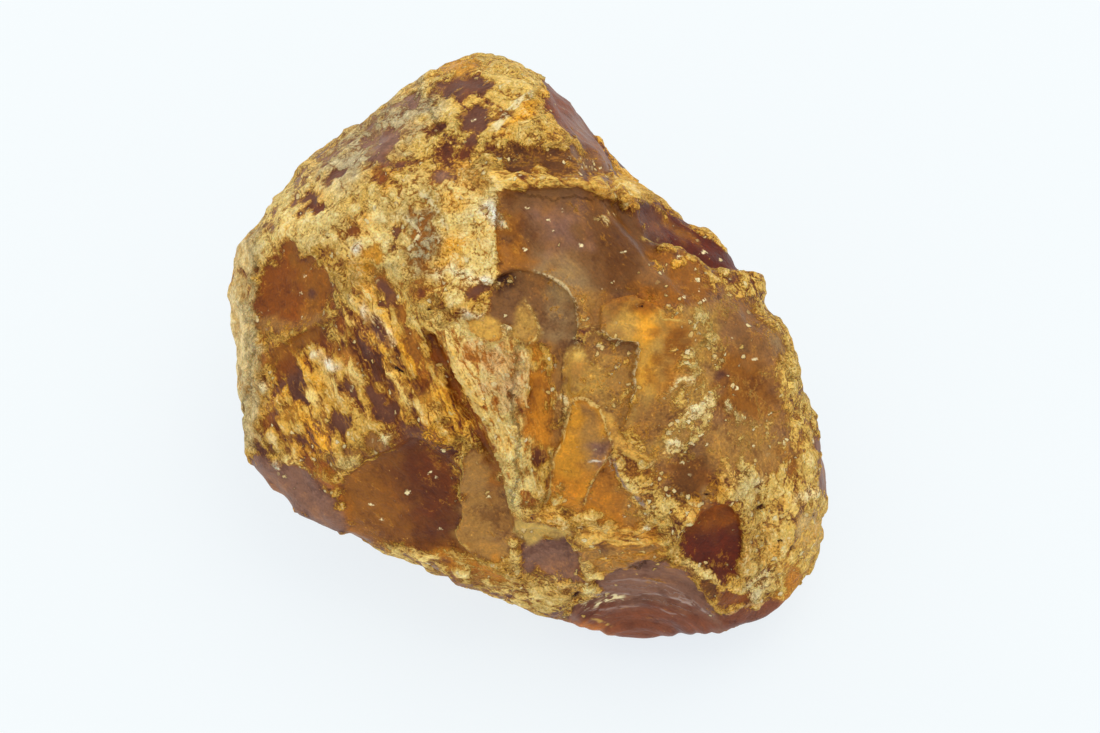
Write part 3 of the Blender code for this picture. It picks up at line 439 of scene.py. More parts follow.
# Specks, pinholes and dark cracks, much smaller ovals in the same form, by tone.
FLECKS = {
    "cream": [
        (-1.3, 12.5, 0.30, 0.30, 0), (-1.0, 17.8, 0.30, 0.30, 0), (8.4, 7.4, 0.22, 0.18, 0),
        (9.6, 8.4, 0.20, 0.15, 0), (11.0, 12.2, 0.5, 0.16, 20), (10.2, 7.3, 0.24, 0.16, 40),
        (1.6, 16.2, 0.26, 0.2, 0), (3.4, 17.4, 0.22, 0.2, 0), (2.4, 14.8, 0.2, 0.2, 0),
        (20.3, 8.7, 0.36, 0.28, 0), (18.7, 6.6, 0.24, 0.24, 0), (20.5, 7.5, 0.22, 0.2, 0),
        (21.1, 6.2, 0.3, 0.26, 0), (18.0, 11.6, 0.3, 0.2, 0), (21.1, 12.2, 0.4, 0.25, 0),
        (-29.0, 9.3, 0.24, 0.2, 0), (-29.5, 7.0, 0.26, 0.18, 30), (-19.3, -21.3, 0.24, 0.2, 0),
        (-12.0, -22.5, 0.26, 0.2, 0), (-13.2, -15.4, 0.3, 0.2, 20), (-12.4, -16.0, 0.24, 0.18, 0),
        (27.5, -1.3, 0.3, 0.2, 0), (25.3, -4.8, 0.3, 0.3, 0), (-5.8, -18.5, 0.3, 0.22, 0),
        (-7.8, 28.7, 0.3, 0.2, 30), (7.2, 23.6, 0.24, 0.2, 0), (8.2, 22.8, 0.24, 0.2, 0),
        (6.4, 22.9, 0.2, 0.16, 0), (13.9, -22.2, 0.5, 0.3, 0), (-20.7, -19.4, 0.4, 0.15, 0),
        (-16.0, -17.9, 0.4, 0.3, 0), (18.4, -14.2, 0.3, 0.2, 0), (27.3, -12.0, 0.2, 0.3, 0),
        (5.7, 13.0, 0.3, 0.26, 0)],
    "soot": [(4.9, 2.0, 0.14, 0.35, 0), (-17.1, -2.5, 1.1, 0.22, -28), (-9.0, 9.4, 0.2, 0.15, 0)],
    "bark": [
        (13.3, 5.4, 0.36, 0.3, 0), (5.0, -30.7, 0.6, 0.22, 10), (28.2, -19.7, 0.8, 0.3, 20),
        (30.5, -23.8, 0.34, 0.22, 0), (32.0, -24.8, 0.5, 0.22, 50), (34.9, -20.8, 0.25, 0.4, 0),
        (32.5, -23.0, 0.16, 0.4, -20), (-13.3, 5.0, 0.25, 0.25, 0), (21.4, -18.2, 0.5, 0.2, 0),
        (29.6, -27.6, 0.6, 0.12, 60)],
}

# A drawn line: its tone, half its width, how strong it is, and its points.
Stroke = namedtuple("Stroke", "name tone half strength points")

STROKES = [
    Stroke("scallop rim, left", "chocolate", 0.12, 0.7, [
        (-5.4, 8), (-4.4, 9.2), (-2.6, 10), (-0.6, 9.8)]),
    Stroke("scallop rim, right", "cream", 0.24, 0.55, [
        (-0.4, 9.9), (2, 9), (4, 7.4), (5.1, 5.5), (5.3, 3), (5.2, 0.4)]),
    Stroke("petal rim", "butter", 0.12, 0.9, [
        (-3.5, 1.9), (-2.4, 1.1), (-1, 0.6), (0.3, 1.5), (0.65, 2.8), (0.4, 3.6), (-0.5, 4.8),
        (-1.4, 6.3)]),
    Stroke("second scallop rim", "butter", 0.12, 0.9, [
        (-8.7, 3.6), (-8.4, 2.2), (-7.4, 1.3), (-6, 0.9), (-4.4, 0.9), (-3.8, 1.6)]),
    Stroke("recess crack", "straw", 0.12, 0.9, [(6.5, 2.5), (8, 1.8), (12.5, 0.6)]),
    Stroke("triangle's rim", "straw", 0.08, 0.8, [(5.3, 2.5), (6.7, 2.8), (5.9, 0.5), (5.3, 2.4)]),
    Stroke("shelf rim", "cream", 0.12, 0.9, [
        (8.1, 2.6), (9.5, 1.3), (12.8, 0.7), (13, -0.3), (12.4, -3), (12.5, -5), (12.2, -7)]),
    Stroke("shade under the shelf", "chocolate", 0.16, 0.7, [
        (7.4, 2.0), (9.3, 0.8), (12.4, 0.2), (12.5, -0.5), (11.9, -3), (12.0, -5)]),
    Stroke("shelf step", "straw", 0.12, 0.8, [(15.6, 5.2), (15.6, 3.8), (18.5, 3.6), (19.3, 3.2)]),
    Stroke("strip rim", "straw", 0.20, 0.8, [
        (13, 14), (15, 13.3), (17, 12.8), (19, 12.3), (20.5, 11.2), (22, 10), (24, 9.9),
        (26.5, 9.9), (27.5, 9.5)]),
    Stroke("tongue rim", "straw", 0.12, 0.6, [
        (3.5, -1.6), (3.9, -0.2), (4.9, 0.2), (5.9, -0.5), (6.6, -1.8)]),
    Stroke("blade right rim", "butter", 0.20, 0.85, [
        (4.1, -6.4), (6, -6.2), (8, -7.3), (8.8, -9.2), (9.5, -11.4), (9.9, -12.8)]),
    Stroke("wedge's left rim", "butter", 0.16, 0.8, [
        (9.9, -12.8), (8.4, -14.8), (7.2, -16.6), (5.9, -19.8)]),
    Stroke("second blade's lower rim", "straw", 0.12, 0.7, [
        (9.9, -12.7), (11.9, -13.4), (14.4, -14.4)]),
    Stroke("blade left rim", "butter", 0.16, 0.8, [
        (4.2, -6.8), (4, -9), (3.4, -11.2), (2.4, -13.5), (1.9, -16), (1.6, -18.4), (1.1, -19.6)]),
    Stroke("blade left crack", "chocolate", 0.12, 0.7, [
        (3.7, -6.6), (3.5, -9), (2.8, -11.2), (1.9, -13.4), (1.4, -16)]),
    # A painted highlight across the blade.
    Stroke("blade light line", "chalk", 0.10, 0.7, [(6.4, -14.2), (8.6, -13.9)]),
    Stroke("wedge rim", "heather", 0.20, 0.9, [
        (9.7, -13.4), (10.3, -15.5), (12, -17.5), (14, -20)]),
    Stroke("tan flake rim", "straw", 0.14, 0.9, [
        (-9.2, -13.6), (-9.2, -15), (-9.5, -18), (-9.2, -21), (-10.2, -22.8), (-9.5, -24),
        (-8, -25.2)]),
    # The ripple crest and ripple lines are partly painted sheen: heather bands of reflected light along
    # the ripples.
    Stroke("ripple crest", "heather", 0.18, 0.9, [
        (7, -30.4), (8, -30.5), (12, -30.6), (15, -30.6), (18, -31.3), (20.5, -32.5),
        (22.5, -33.5)]),
    Stroke("upper ripple line", "heather", 0.07, 0.7, [
        (8.6, -29.3), (12, -28.6), (15, -28.9), (18, -30.3), (20.6, -32.2)]),
    Stroke("lower ripple line", "heather", 0.07, 0.6, [
        (5.8, -32.8), (10, -32.2), (14, -32.1), (19, -33.4)]),
    Stroke("ripple toe line", "straw", 0.14, 0.6, [(6.6, -33.6), (8, -34.1), (9.6, -34.7)]),
    Stroke("ripple crumbs", "cream", 0.24, 0.9, [
        (5.3, -32.0), (7.6, -31.8), (9.4, -31.2), (11.3, -30.9)]),
    Stroke("crumbs over the ripples", "straw", 0.2, 0.8, [(4, -31), (5.6, -30.6), (7, -30.9)]),
    Stroke("bottom facet rim", "peach", 0.16, 0.8, [(23.5, -33.5), (26, -32), (29, -31.3)]),
    Stroke("lower pool curve", "straw", 0.10, 0.8, [(-0.4, -22.8), (2, -22.3), (4.6, -22.7)]),
    Stroke("butter scale border", "chocolate", 0.10, 0.6, [
        (-3, -20.3), (-2.6, -22.6), (-1, -24.4)]),
    Stroke("crest line", "butter", 0.26, 0.65, [
        (-11.5, 1), (-9, -4), (-7, -7.5), (-5, -12), (-3.5, -16), (-2.7, -20)]),
    Stroke("knob vein", "cream", 0.42, 0.9, [(-5.4, 27.2), (-3.6, 29.4), (-2, 31), (0, 32.2)]),
    Stroke("looping vein", "cream", 0.22, 0.9, [(-15, 19.7), (-13.2, 18.8), (-12, 17), (-11, 15.2)]),
    Stroke("second looping vein", "cream", 0.22, 0.9, [
        (-17, 17), (-15.4, 16), (-14.5, 14.5), (-15.2, 13), (-16.2, 12)]),
    Stroke("crack beside the tongue", "bark", 0.09, 0.7, [
        (5, 1.6), (4.4, 0.8), (3.3, -0.6), (3.2, -3.4), (3.6, -6.2), (3, -9.6)]),
]

# A ledge: the side on the left, going along it, stands up by rise, and it fades out within reach.
Ledge = namedtuple("Ledge", "name rise reach points")
LEDGE_CRISP = 0.75
LEDGE_SOFT = 2.6
LEDGE_END = 1.6

LEDGES = [
    Ledge("slab left step", 0.8, 3.0, [(-4.3, 9.4), (-4.8, 14), (-5, 18.8)]),
    Ledge("slab top step", 0.7, 2.6, [(-4.2, 19.8), (0, 19.8), (5, 20.2), (9, 19.2), (13, 16.5)]),
    Ledge("strip step", 0.9, 3.0, [
        (29, 8.6), (24, 9.9), (22, 10), (20.5, 11.2), (19, 12.3), (15, 13.3), (12, 15.4)]),
    Ledge("scallop rim", 1.1, 2.6, [
        (-6.4, 7.8), (-4.5, 9), (-2, 10), (0, 9.7), (2, 8.8), (4, 7.2), (5, 5.5), (5.2, 3),
        (5, 0.4)]),
    Ledge("petal", 0.8, 2.4, [
        (-5.6, 3.8), (-3.5, 2), (-2, 1), (0, 0.6), (0.6, 2), (0.3, 3.5), (-0.8, 6.2)]),
    Ledge("shelf", 1.3, 3.4, [
        (17.4, 4), (15.2, 5.5), (12.3, 6.8), (10, 6.3), (8.2, 5.3), (8, 2.4), (9.5, 1.2),
        (12.8, 0.7), (13, -0.3), (12.4, -3), (12.5, -5), (12.2, -7), (10.4, -10.4)]),
    Ledge("tongue", 0.6, 1.8, [
        (4.4, -3), (4, -5.6), (5, -6), (6.2, -5), (6.5, -3), (6, -1), (5, 0), (3.4, -1.2)]),
    Ledge("blade right edge", 0.9, 2.6, [
        (5.4, -21), (5.8, -19.8), (7.2, -16.5), (9.8, -12.5), (9.3, -11), (8, -7.3), (3.4, -6.2)]),
    Ledge("blade left edge", 0.8, 2.2, [(4.6, -5.6), (4, -10), (2.3, -13), (1.9, -15), (2, -20)]),
    Ledge("blade foot", 0.6, 2.0, [(9, -12), (12, -12.7), (15.8, -14.6)]),
    Ledge("rust wedge", 0.8, 2.6, [
        (9.2, -13.6), (10.3, -15.5), (12, -17.5), (13.5, -20), (11.6, -24)]),
    Ledge("tan flake left edge", 1.1, 3.0, [
        (-10.4, -13.4), (-9.2, -15), (-9.5, -18), (-9.2, -21), (-10.2, -22.8), (-9.4, -24.4),
        (-6.8, -26.4)]),
    Ledge("tan flake right edge", 0.8, 2.6, [(-6, -11.6), (-4, -16), (-3.3, -20), (-2.4, -23.6)]),
    Ledge("rippled face top edge", 0.9, 3.0, [
        (7, -29.4), (10, -27.5), (14, -26.4), (18, -27.8), (20, -29.5), (24, -34)]),
    Ledge("rippled face step", 0.7, 2.2, [
        (3.6, -32.6), (8, -30.6), (15, -30.6), (20.5, -32.5), (23.4, -34.4)]),
    Ledge("burgundy hollow edge", 0.8, 2.6, [
        (17.6, -24.4), (18.3, -22.8), (20, -21.3), (22, -19.8), (24.5, -19.8), (25.6, -22),
        (25.8, -25), (25.2, -29)]),
    Ledge("lower pool edge", 0.6, 2.2, [
        (-3.4, -24), (-2, -22.4), (3, -22.8), (5, -25), (6.4, -29.6)]),
    Ledge("left band edge", 0.7, 2.4, [(-36, -5.6), (-34, -3), (-32, 0), (-28.5, 2.2), (-25, 4)]),
]

# Grain: a stretch where the surface is drawn out along one direction, with its turn from across.
Grain = namedtuple("Grain", "name turn strength edge outline")
GRAIN_STRETCH = 3.8
GRAIN_WANDER = 0.5

GRAINS = [
    Grain("left rim", 86, 0.9, 2.0, [(-40, -12), (-40, 16), (-35, 18), (-35.4, 6), (-36, -6)]),
    Grain("left slope", -60, 0.78, 4.0, [
        (-34, 2), (-27, 3), (-24, 9), (-18, 10), (-12, 4), (-4, 1), (-1, -10), (-2, -22),
        (-5, -15), (-12, -10), (-24, -14), (-30, -17), (-36, -10)]),
    Grain("upper bank", 42, 0.6, 5.0, [
        (-36, 8), (-30, 22), (-16, 34), (-12, 28), (-22, 18), (-30, 13)]),
    Grain("knob", 30, 0.5, 3.0, [(-13, 31), (-6, 37), (0, 34), (0, 28), (-6, 25), (-12, 27)]),
    Grain("ridge", -6, 0.8, 2.0, [(-8, 22), (4, 26), (14, 21), (15, 17), (8, 18.6), (-6, 19)]),
    Grain("slab", -48, 0.6, 2.0, [(-4, 19), (9, 19), (15, 13), (14, 8), (5, 8), (-3, 11)]),
    Grain("chocolate window", -40, 0.4, 2.0, [
        (-23, -15), (-13, -12), (-10, -16), (-10, -24), (-23, -23)]),
    Grain("middle column", -84, 0.8, 2.0, [
        (-2, 1), (4, 1), (4.6, -6), (2.6, -18), (-2.4, -20), (-3, -8)]),
    Grain("shelf lines", 0, 0.7, 2.0, [(14, 4), (20, 3), (20, -5), (14, -5)]),
    Grain("foot lines", 4, 0.9, 2.0, [(5, -22), (16, -21), (18, -26), (12, -29), (6, -29)]),
    Grain("right bank", -70, 0.5, 4.0, [
        (22, 6), (30, 2), (36, -12), (36, -26), (28, -30), (26, -12)]),
    Grain("lower edge", -14, 0.6, 2.0, [
        (-24, -23), (-8, -25), (4, -30), (4, -37), (-16, -31), (-26, -26)]),
]

# Loose grains on the surface: what share of it they take up at most, here and elsewhere.
Grit = namedtuple("Grit", "name amount edge outline")
GRIT_ON_CRUST = 0.22
GRIT_ON_BARE = 0.07
# The cover from which it is crust, and how fast the one passes into the other.
GRIT_CRUST_START = -0.9
GRIT_CRUST_EDGE = 0.8
# Grains lie in clusters: their noise, and what is left between them, on crust and in the drawn
# stretches, which they make denser too.
GRIT_CLUSTERS = [(2.4, 1.8, 91.0)]
GRIT_BETWEEN = 0.3
GRIT_BETWEEN_DRAWN = 0.15
GRIT_CLUSTER_GAIN = 1.15
# How much drawn grit thickens the crust, up to a limit, and how much it pales it.
GRIT_IN_COVER = 0.9
GRIT_COVER_LIMIT = 0.25
GRIT_PALING = 0.4

GRITS = [
    Grit("column by the shelf", 0.95, 4.0, [
        (17.4, 6), (23, 6), (22.4, -9), (19, -13), (14, -14.6), (16.6, -9), (19, -3)]),
    Grit("burgundy band", 0.35, 1.6, [(-5, 25), (8, 24.4), (8, 21.8), (-4.4, 22.2)]),
    Grit("right bank", 0.28, 4.0, [(19, 8), (26, 6), (30, -4), (32, -14), (23, -14), (21, -4)]),
    Grit("right crumbs", 0.8, 2.4, [(23.6, -4.6), (25.4, -5.4), (25.6, -9), (23.8, -9.4)]),
    Grit("second blade's side", 0.45, 2.0, [(9, -13), (13, -13), (17, -17), (14, -21), (12, -17)]),
    Grit("granular band", 0.9, 3.0, [(12, -17), (16, -17), (20.6, -20), (19, -23), (12, -22.4)]),
    Grit("foot", 0.55, 3.0, [(4.6, -19.6), (14, -20.6), (17.6, -25), (12, -28), (5, -24)]),
    Grit("hollow's lower side", 0.5, 1.6, [
        (17.6, -25), (21, -28), (25, -29.6), (24, -27.6), (20.6, -26.4)]),
    Grit("hollow's left side", 0.7, 1.6, [
        (17.4, -24.6), (18.2, -21.6), (19.2, -21.8), (18.6, -24.6)]),
    Grit("right crust", 0.5, 3.0, [(23, -14), (35, -13), (36, -24), (31, -31), (25, -31), (26, -22)]),
    Grit("recess", 0.25, 1.0, [(6.6, 0), (12.4, 0), (12, -6), (9, -7.6), (6.6, -6)]),
    Grit("recess top", 0.6, 0.8, [(6.8, 1.8), (12.6, 0.4), (12.4, -1), (7, -0.2)]),
    Grit("recess foot", 0.8, 1.4, [(8.4, -4.6), (12, -4.8), (11.6, -8.2), (9.2, -8)]),
    Grit("scallop's dark corner", 0.6, 1.0, [(-6, 8), (-4.6, 9.6), (-3, 9.6), (-3, 8.2)]),
    Grit("crack column", 0.5, 1.6, [(2, -4), (4.4, -5), (4.6, -9), (1.4, -9)]),
    Grit("scallop's right border", 0.6, 1.6, [
        (2, 9.6), (5, 6.6), (5.8, 3), (7, 3.6), (6, 7), (3, 10.4)]),
    Grit("crest", 0.6, 3.0, [(-9, 1), (-2, 1), (-1, -8), (-1, -20), (-3.4, -20), (-6, -8)]),
    Grit("chalk patch", 0.7, 2.0, [(-7.4, 20), (-4.8, 20), (-4.8, 14), (-7, 14)]),
    Grit("olive slab", 0.35, 2.0, [(15, 12), (20.6, 10.4), (22.4, 8), (21, 5.4), (16, 6)]),
    Grit("lower pool's border", 0.7, 1.6, [(-3, -28), (6.4, -30), (6, -31.6), (-4, -30)]),
]

# Shell-like ripples on the rippled face, round a point below the stone's edge: how far apart they
# are, how high, what share of that lies below the surface, and how wide their border is.
RIPPLE_CENTRE = (12.8, -42.6)
RIPPLE_LENGTH = 1.45
RIPPLE_RISE = 0.20
RIPPLE_LEVEL = 0.6
RIPPLE_EDGE = 1.5

# The hidden side's crust: its tones, each with the shift of its noise, and its cover on the whole,
# from which a patchy and a broad noise are taken off.
HIDDEN_TONES = [("straw", 21.0), ("khaki", 33.0), ("gold", 45.0), ("butter", 57.0)]
HIDDEN_TONE_SIZE = 9.0
HIDDEN_TONE_SHARE = 0.8
HIDDEN_TONE_EDGE = 0.3
HIDDEN_TONE_COVER = 0.5
HIDDEN_COVER = 0.55
HIDDEN_WEAR = [(5.0, 1.9, 13.0), (11.0, 1.1, 3.0)]

# The chips on the hidden side, in the part's frame: which way each faces, its radius, the turn
# round it of the point that was struck, and its tone.
Scar = namedtuple("Scar", "name turn lean radius strike tone")

SCARS = [
    Scar("far chip", 128, 0, 13.5, 60, "burgundy"),
    Scar("far right chip", 84, -14, 11.0, 200, "hazel"),
    Scar("far left chip", 176, -6, 12.0, 100, "russet"),
    Scar("far foot chip", 150, -42, 10.0, 250, "burgundy"),
    Scar("left foot chip", 214, -30, 10.0, 20, "chocolate"),
    Scar("right foot chip", 40, -30, 11.0, 120, "russet"),
    Scar("near foot chip", 300, -30, 8.0, 90, "fawn"),
]
# How much of its radius a chip fills, with its noises, and its border and its cover.
SCAR_SHARE = 0.86
SCAR_UNEVEN = [(7.0, 0.30, 71.0), (2.2, 0.10, 73.0)]
SCAR_EDGE = 1.4
SCAR_COVER = -1.2
# Part of each chip takes a second tone: amber in the light ones, else plum.
LIGHT_SCARS = ("hazel", "fawn")
SCAR_CHANGE = 0.8
SCAR_CHANGE_WHERE = [(8.0, 1.4, 83.0)]
SCAR_CHANGE_COVER = -0.9
SCAR_RIPPLE_LENGTH = 1.5
SCAR_RIPPLE_RISE = 0.12

# How far the drawn borders wander, in two sizes: (size of the wandering, amount).
WANDER = [(3.2, 0.65), (1.2, 0.50)]
WANDER_SHIFTS = (7.0, 14.0)
# The share of it that crisp borders, rims and steps take, and the border from which it is whole.
CRISP_WANDER = 0.3
FULL_WANDER_EDGE = 2.0
# How much softer borders are broken up as well, for their width up to a limit, and by what noise.
SOFT_WANDER = 0.35
SOFT_WANDER_EDGE = 3.0
MOTTLE = [(1.5, 2.0, 31.0)]
# The cover under the drawn stretches, and of the bare amber in its gaps.
GROUND_COVER = 0.6
GROUND_GAP_COVER = -0.1
# How far drawn spots of crust stand up, and how deep dark flecks go, over what width.
SPOT_RISE = 0.2
FLECK_SINK = 0.5
FLECK_EDGE = 0.5
# A stroke fades out towards its ends, and from this far to either side.
STROKE_END = 0.8
STROKE_REACH = 1.1
STROKE_FADE = 0.4
# The thickest crust and the cleanest amber that are stored on the mesh.
COVER_LIMIT = 2.0
# From this distance on, a fleck or a stroke is stored as out of reach.
REACH_LIMIT = 3.0
# The crust's lumps, the chips among them, and the strands that take their place along the grain.
LUMPS = [(2.9, 0.45, 5.0), (1.3, 0.50, 17.0)]
CHIPS = [(2.1, 0.42, 9.0)]
CHIP_HEIGHT = 0.6
STRAND_RIDGES = [(1.9, 0.45, 2.0)]
STRAND_LUMPS = [(0.9, 0.55, 4.0)]
STRANDS_OVER_LUMPS = 0.6
LUMPS_LIMIT = 1.2
# How much the lumps thicken the crust, how they raise it, and how wide its broken edge is.
LUMPS_IN_COVER = 0.55
CRUST_LEVEL = 0.10
CRUST_RISE = 0.55
CRUST_EDGE = 0.8
# Bare amber lies lower, and is only gently uneven.
BARE_LEVEL = -0.12
BARE_LUMPS = 0.08
BARE_WAVES = [(3.6, 0.15, 29.0)]
BARE_STREAKS = [(1.2, 0.05, 6.0)]
# The relief dies out towards the ground, over this height.
GROUND_FADE = 1.5
# How far round a point its hollow is felt, in steps of the mesh, and how strongly it is stored; the
# material paints shade into these hollows.
HOLLOW_SHADE_ROUNDS = 11
HOLLOW_SHADE_GAIN = 3.0
# Three dice are thrown for each chip from its middle, by a sine of it that is much enlarged.
CHIP_SEEDS = np.array(((12.99, 39.35, 73.16), (78.23, 11.14, 52.24), (37.72, 83.16, 9.15)))
CHIP_SCATTER = 437.58
# What the material reads from the mesh, besides the hollows that it paints shade into.
STORED = [
    "cover", "lumps", "grit", "fleck_depth", "stroke_side", "stroke_strength", "stroke_half", "grain",
    "grain_place", "bare_tone", "crust_tone", "fleck_tone", "stroke_tone"]
# The sizes of the material's textures, in millimetres: off the grain, and along it where they differ.
FINE_SIZE = 0.30
SPECKLE_SIZES = (0.85, 0.80)
THREAD_SIZES = (1.7, 1.3)
PATCH_SIZE = 2.6
CLOUD_SIZE = 5.5
FLAKE_SIZE = 1.9
# How the places are crumpled that they are read at, by a size and an amount, off the grain and
# along it.
CRUMPLE = (0.9, 0.5)
CRUMPLE_ALONG = (1.4, 0.25)
# The spacing of the loose grains.
GRAIN_SIZE = 0.85
# How much the material's noise is spread, so that it runs from about -1 to 1.
NOISE_SPREAD = 6.0
# How high the finest relief stands, which only the material has.
BUMP = 0.8
# Tints, as factors of red, green and blue.
DEEP_AMBER = (0.60, 0.50, 0.50)
LIT_AMBER = (1.45, 1.38, 1.10)
SHADED_AMBER = (0.62, 0.52, 0.50)
ORANGE_CRUST = (0.98, 0.74, 0.44)
PALE_CRUST = (0.95, 1.01, 1.20)
LIT_CRUST = (1.18, 1.24, 1.30)
# The waxy shine of amber, with a little light that scatters under its surface.
AMBER_SHINE = {
    "IOR": 1.54,
    "Specular IOR Level": 0.15,
    "Subsurface Weight": 0.15,
    "Subsurface Radius": (1.0, 0.45, 0.15),
    "Subsurface Scale": 1.2 * MM,
}
# The floor glows a little, like the photograph's backdrop. Its size and depth are in metres.
FLOOR_LOOK = {
    "Base Color": (0.19, 0.18, 0.15, 1.0),
    "Roughness": 0.9,
    "Specular IOR Level": 0.1,
    "Emission Color": (0.72, 0.775, 0.825, 1.0),
    "Emission Strength": 1.0,
}
FLOOR_SIZE = 6.0
FLOOR_HEIGHT = -0.05 * MM
# The soft lights: their names, their places and sizes in metres, and their power in watts.
SOFT_LIGHTS = [
    ("overhead", (0.05, 0.28, 0.75), 0.6, 1.4),
    ("side", (-0.6, 0.1, 0.45), 0.4, 0.5),
]
TENT_COLOUR = (0.95, 0.98, 1.0, 1.0)
TENT_STRENGTH = 0.885
# The light that the surface throws back from the pale tent, and how bright the tent is.
SHEEN_SEEN = np.array((0.013, 0.016, 0.020))
TENT_SEEN = 0.85


def tone(name):
    """A named colour as the base colour that looks like it in this light."""
    share = np.array(TONES[name]) / 255.0
    seen = np.where(share <= 0.04045, share / 12.92, ((share + 0.055) / 1.055) ** 2.4)
    return np.maximum((seen - SHEEN_SEEN) / TENT_SEEN, 0.004)


def smooth(share):
    """0 below 0, 1 above 1, and a soft step between."""
    share = np.clip(share, 0.0, 1.0)
    return share * share * (3.0 - 2.0 * share)


def facing(turn, lean):
    """The unit direction of that turn from the first axis and lean towards the third."""
    turn, lean = math.radians(turn), math.radians(lean)
    return np.array((
        math.cos(lean) * math.cos(turn),
        math.cos(lean) * math.sin(turn),
        math.sin(lean),
    ))


def drawing_axes():
    """Unit vectors of the drawing's across, up and out, in the part's frame."""
    out = facing(DRAWN_AZIMUTH - 90.0, DRAWN_ELEVATION)
    across = facing(DRAWN_AZIMUTH, 0.0)
    return np.array((across, np.cross(out, across), out))


def noise_at(places, size, shift):
    """Smooth noise from about -1 to 1, whose lumps are about this size."""
    return np.array([noise.noise(place) for place in (places / size + shift).tolist()])


def ridges_at(places, size, shift):
    """Noise from -1 to 1 with sharp crests and round valleys."""
    return 1.0 - 4.0 * np.abs(noise_at(places, size, shift))


def layered_noise(places, layers, kind=noise_at):
    """Noises of a kind added up, each given as its size, its amount and its shift."""
    return sum(amount * kind(places, size, shift) for size, amount, shift in layers)


def chips_at(places, size, shift):
    """Broken chips of about this size, each at a height and a tilt of its own, from about -1 to 1."""
    places = places / size + shift
    middles = np.array([noise.voronoi(place)[1][0] for place in places.tolist()])
    dice = 2.0 * np.modf(np.abs(np.sin(middles @ CHIP_SEEDS)) * CHIP_SCATTER)[0] - 1.0
    return CHIP_HEIGHT * dice[:, 0] + np.sum((places - middles) * dice, axis=1)


def along_line(places, points):
    """Each place's distance to the line, above 0 on its left, and the distance from its ends."""
    lengths = [math.dist(start, end) for start, end in zip(points[:-1], points[1:])]
    nearest = np.full(len(places), np.inf)
    side, from_end = np.zeros(len(places)), np.zeros(len(places))
    for index, (start, end) in enumerate(zip(points[:-1], points[1:])):
        run = np.subtract(end, start)
        reach = places - np.array(start)
        share = np.clip(reach @ run / (run @ run), 0.0, 1.0)
        gap = np.linalg.norm(reach - share[:, None] * run, axis=1)
        travelled = sum(lengths[:index]) + share * lengths[index]
        closer = gap < nearest
        nearest = np.where(closer, gap, nearest)
        side = np.where(closer, np.sign(run[0] * reach[:, 1] - run[1] * reach[:, 0]), side)
        from_end = np.where(closer, np.minimum(travelled, sum(lengths) - travelled), from_end)
    return side * nearest, from_end


def depth_inside(places, outline):
    """Distance from each place to the outline, above 0 inside it and below 0 outside."""
    closed = outline + outline[:1]
    inside = np.zeros(len(places), bool)
    for (x0, y0), (x1, y1) in zip(closed[:-1], closed[1:]):
        between = (places[:, 1] < y0) != (places[:, 1] < y1)
        height = (places[:, 1] - y0) / (y1 - y0) if y1 != y0 else 0.0
        inside ^= between & (places[:, 0] < x0 + height * (x1 - x0))
    return np.where(inside, 1.0, -1.0) * np.abs(along_line(places, closed)[0])


def depth_in_oval(places, across, up, long, wide, turn):
    """About the distance from each place to an oval's edge, above 0 inside it."""
    turn = math.radians(turn)
    reach = places - (across, up)
    along = reach @ (math.cos(turn), math.sin(turn)) / long
    aside = reach @ (-math.sin(turn), math.cos(turn)) / wide
    return (1.0 - np.hypot(along, aside)) * min(long, wide)


class Skin:
    """What the surface is at each point of the mesh.

    front says how far the drawing is in force there, cover how thick the crust is, as in a Field,
    and rise how far the point is moved out, in millimetres.
    """

    def __init__(self, points):
        self.points = points
        drawn = (points - HEART) @ drawing_axes().T
        away = drawn[:, 2] / np.linalg.norm(drawn, axis=1)
        away = away + layered_noise(points, DRAWN_UNEVEN)
        self.front = smooth((away - DRAWN_START) / DRAWN_SPAN)
        self.places = drawn[:, :2] * EYE_DISTANCE / (EYE_DISTANCE - drawn[:, 2:])
        self.wander = np.stack([
            layered_noise(points, [(*layer, shift) for layer in WANDER])
            for shift in WANDER_SHIFTS], axis=1)
        self.mottle = layered_noise(points, MOTTLE)
        count = len(points)
        self.cover = np.zeros(count)
        self.bare_tone = np.tile(tone("burgundy"), (count, 1))
        self.crust_tone = np.tile(tone("ochre"), (count, 1))
        self.fleck_depth = np.full(count, -REACH_LIMIT)
        self.fleck_tone = np.tile(tone("chalk"), (count, 1))
        self.stroke_side = np.full(count, REACH_LIMIT)
        self.stroke_strength = np.zeros(count)
        self.stroke_half = np.zeros(count)
        self.stroke_tone = np.tile(tone("cream"), (count, 1))
        self.grain = np.zeros(count)
        self.grain_place = np.zeros((count, 3))
        self.grit = np.zeros(count)
        self.lumps = np.zeros(count)
        self.rise = np.zeros(count)

    def lay(self, share, name, cover):
        """Turns the surface into that tone and cover by that share: bare amber below 0, else crust."""
        self.cover = self.cover * (1.0 - share) + cover * share
        which = "bare_tone" if cover < 0.0 else "crust_tone"
        old = getattr(self, which)
        setattr(self, which, old + (tone(name) - old) * share[:, None])

    def drawn_share(self, depth_from, edge, low, high):
        """How much of a thing on the drawing there is at each point, for a border of that width."""
        places = self.places + self.wander * min(1.0, max(edge / FULL_WANDER_EDGE, CRISP_WANDER))
        near = np.all((places > np.array(low) - edge) & (places < np.array(high) + edge), axis=1)
        near &= self.front > 0.0
        share = np.zeros(len(places))
        uneven = SOFT_WANDER * min(edge, SOFT_WANDER_EDGE) * self.mottle[near]
        share[near] = smooth((depth_from(places[near]) + uneven) / edge + 0.5) * self.front[near]
        return share

    def share_of_outline(self, outline, edge):
        low, high = np.min(outline, axis=0), np.max(outline, axis=0)
        return self.drawn_share(lambda places: depth_inside(places, outline), edge, low, high)

    def share_of_oval(self, oval, edge):
        across, up, long = oval[:3]
        low, high = (across - long, up - long), (across + long, up + long)
        return self.drawn_share(lambda places: depth_in_oval(places, *oval), edge, low, high)


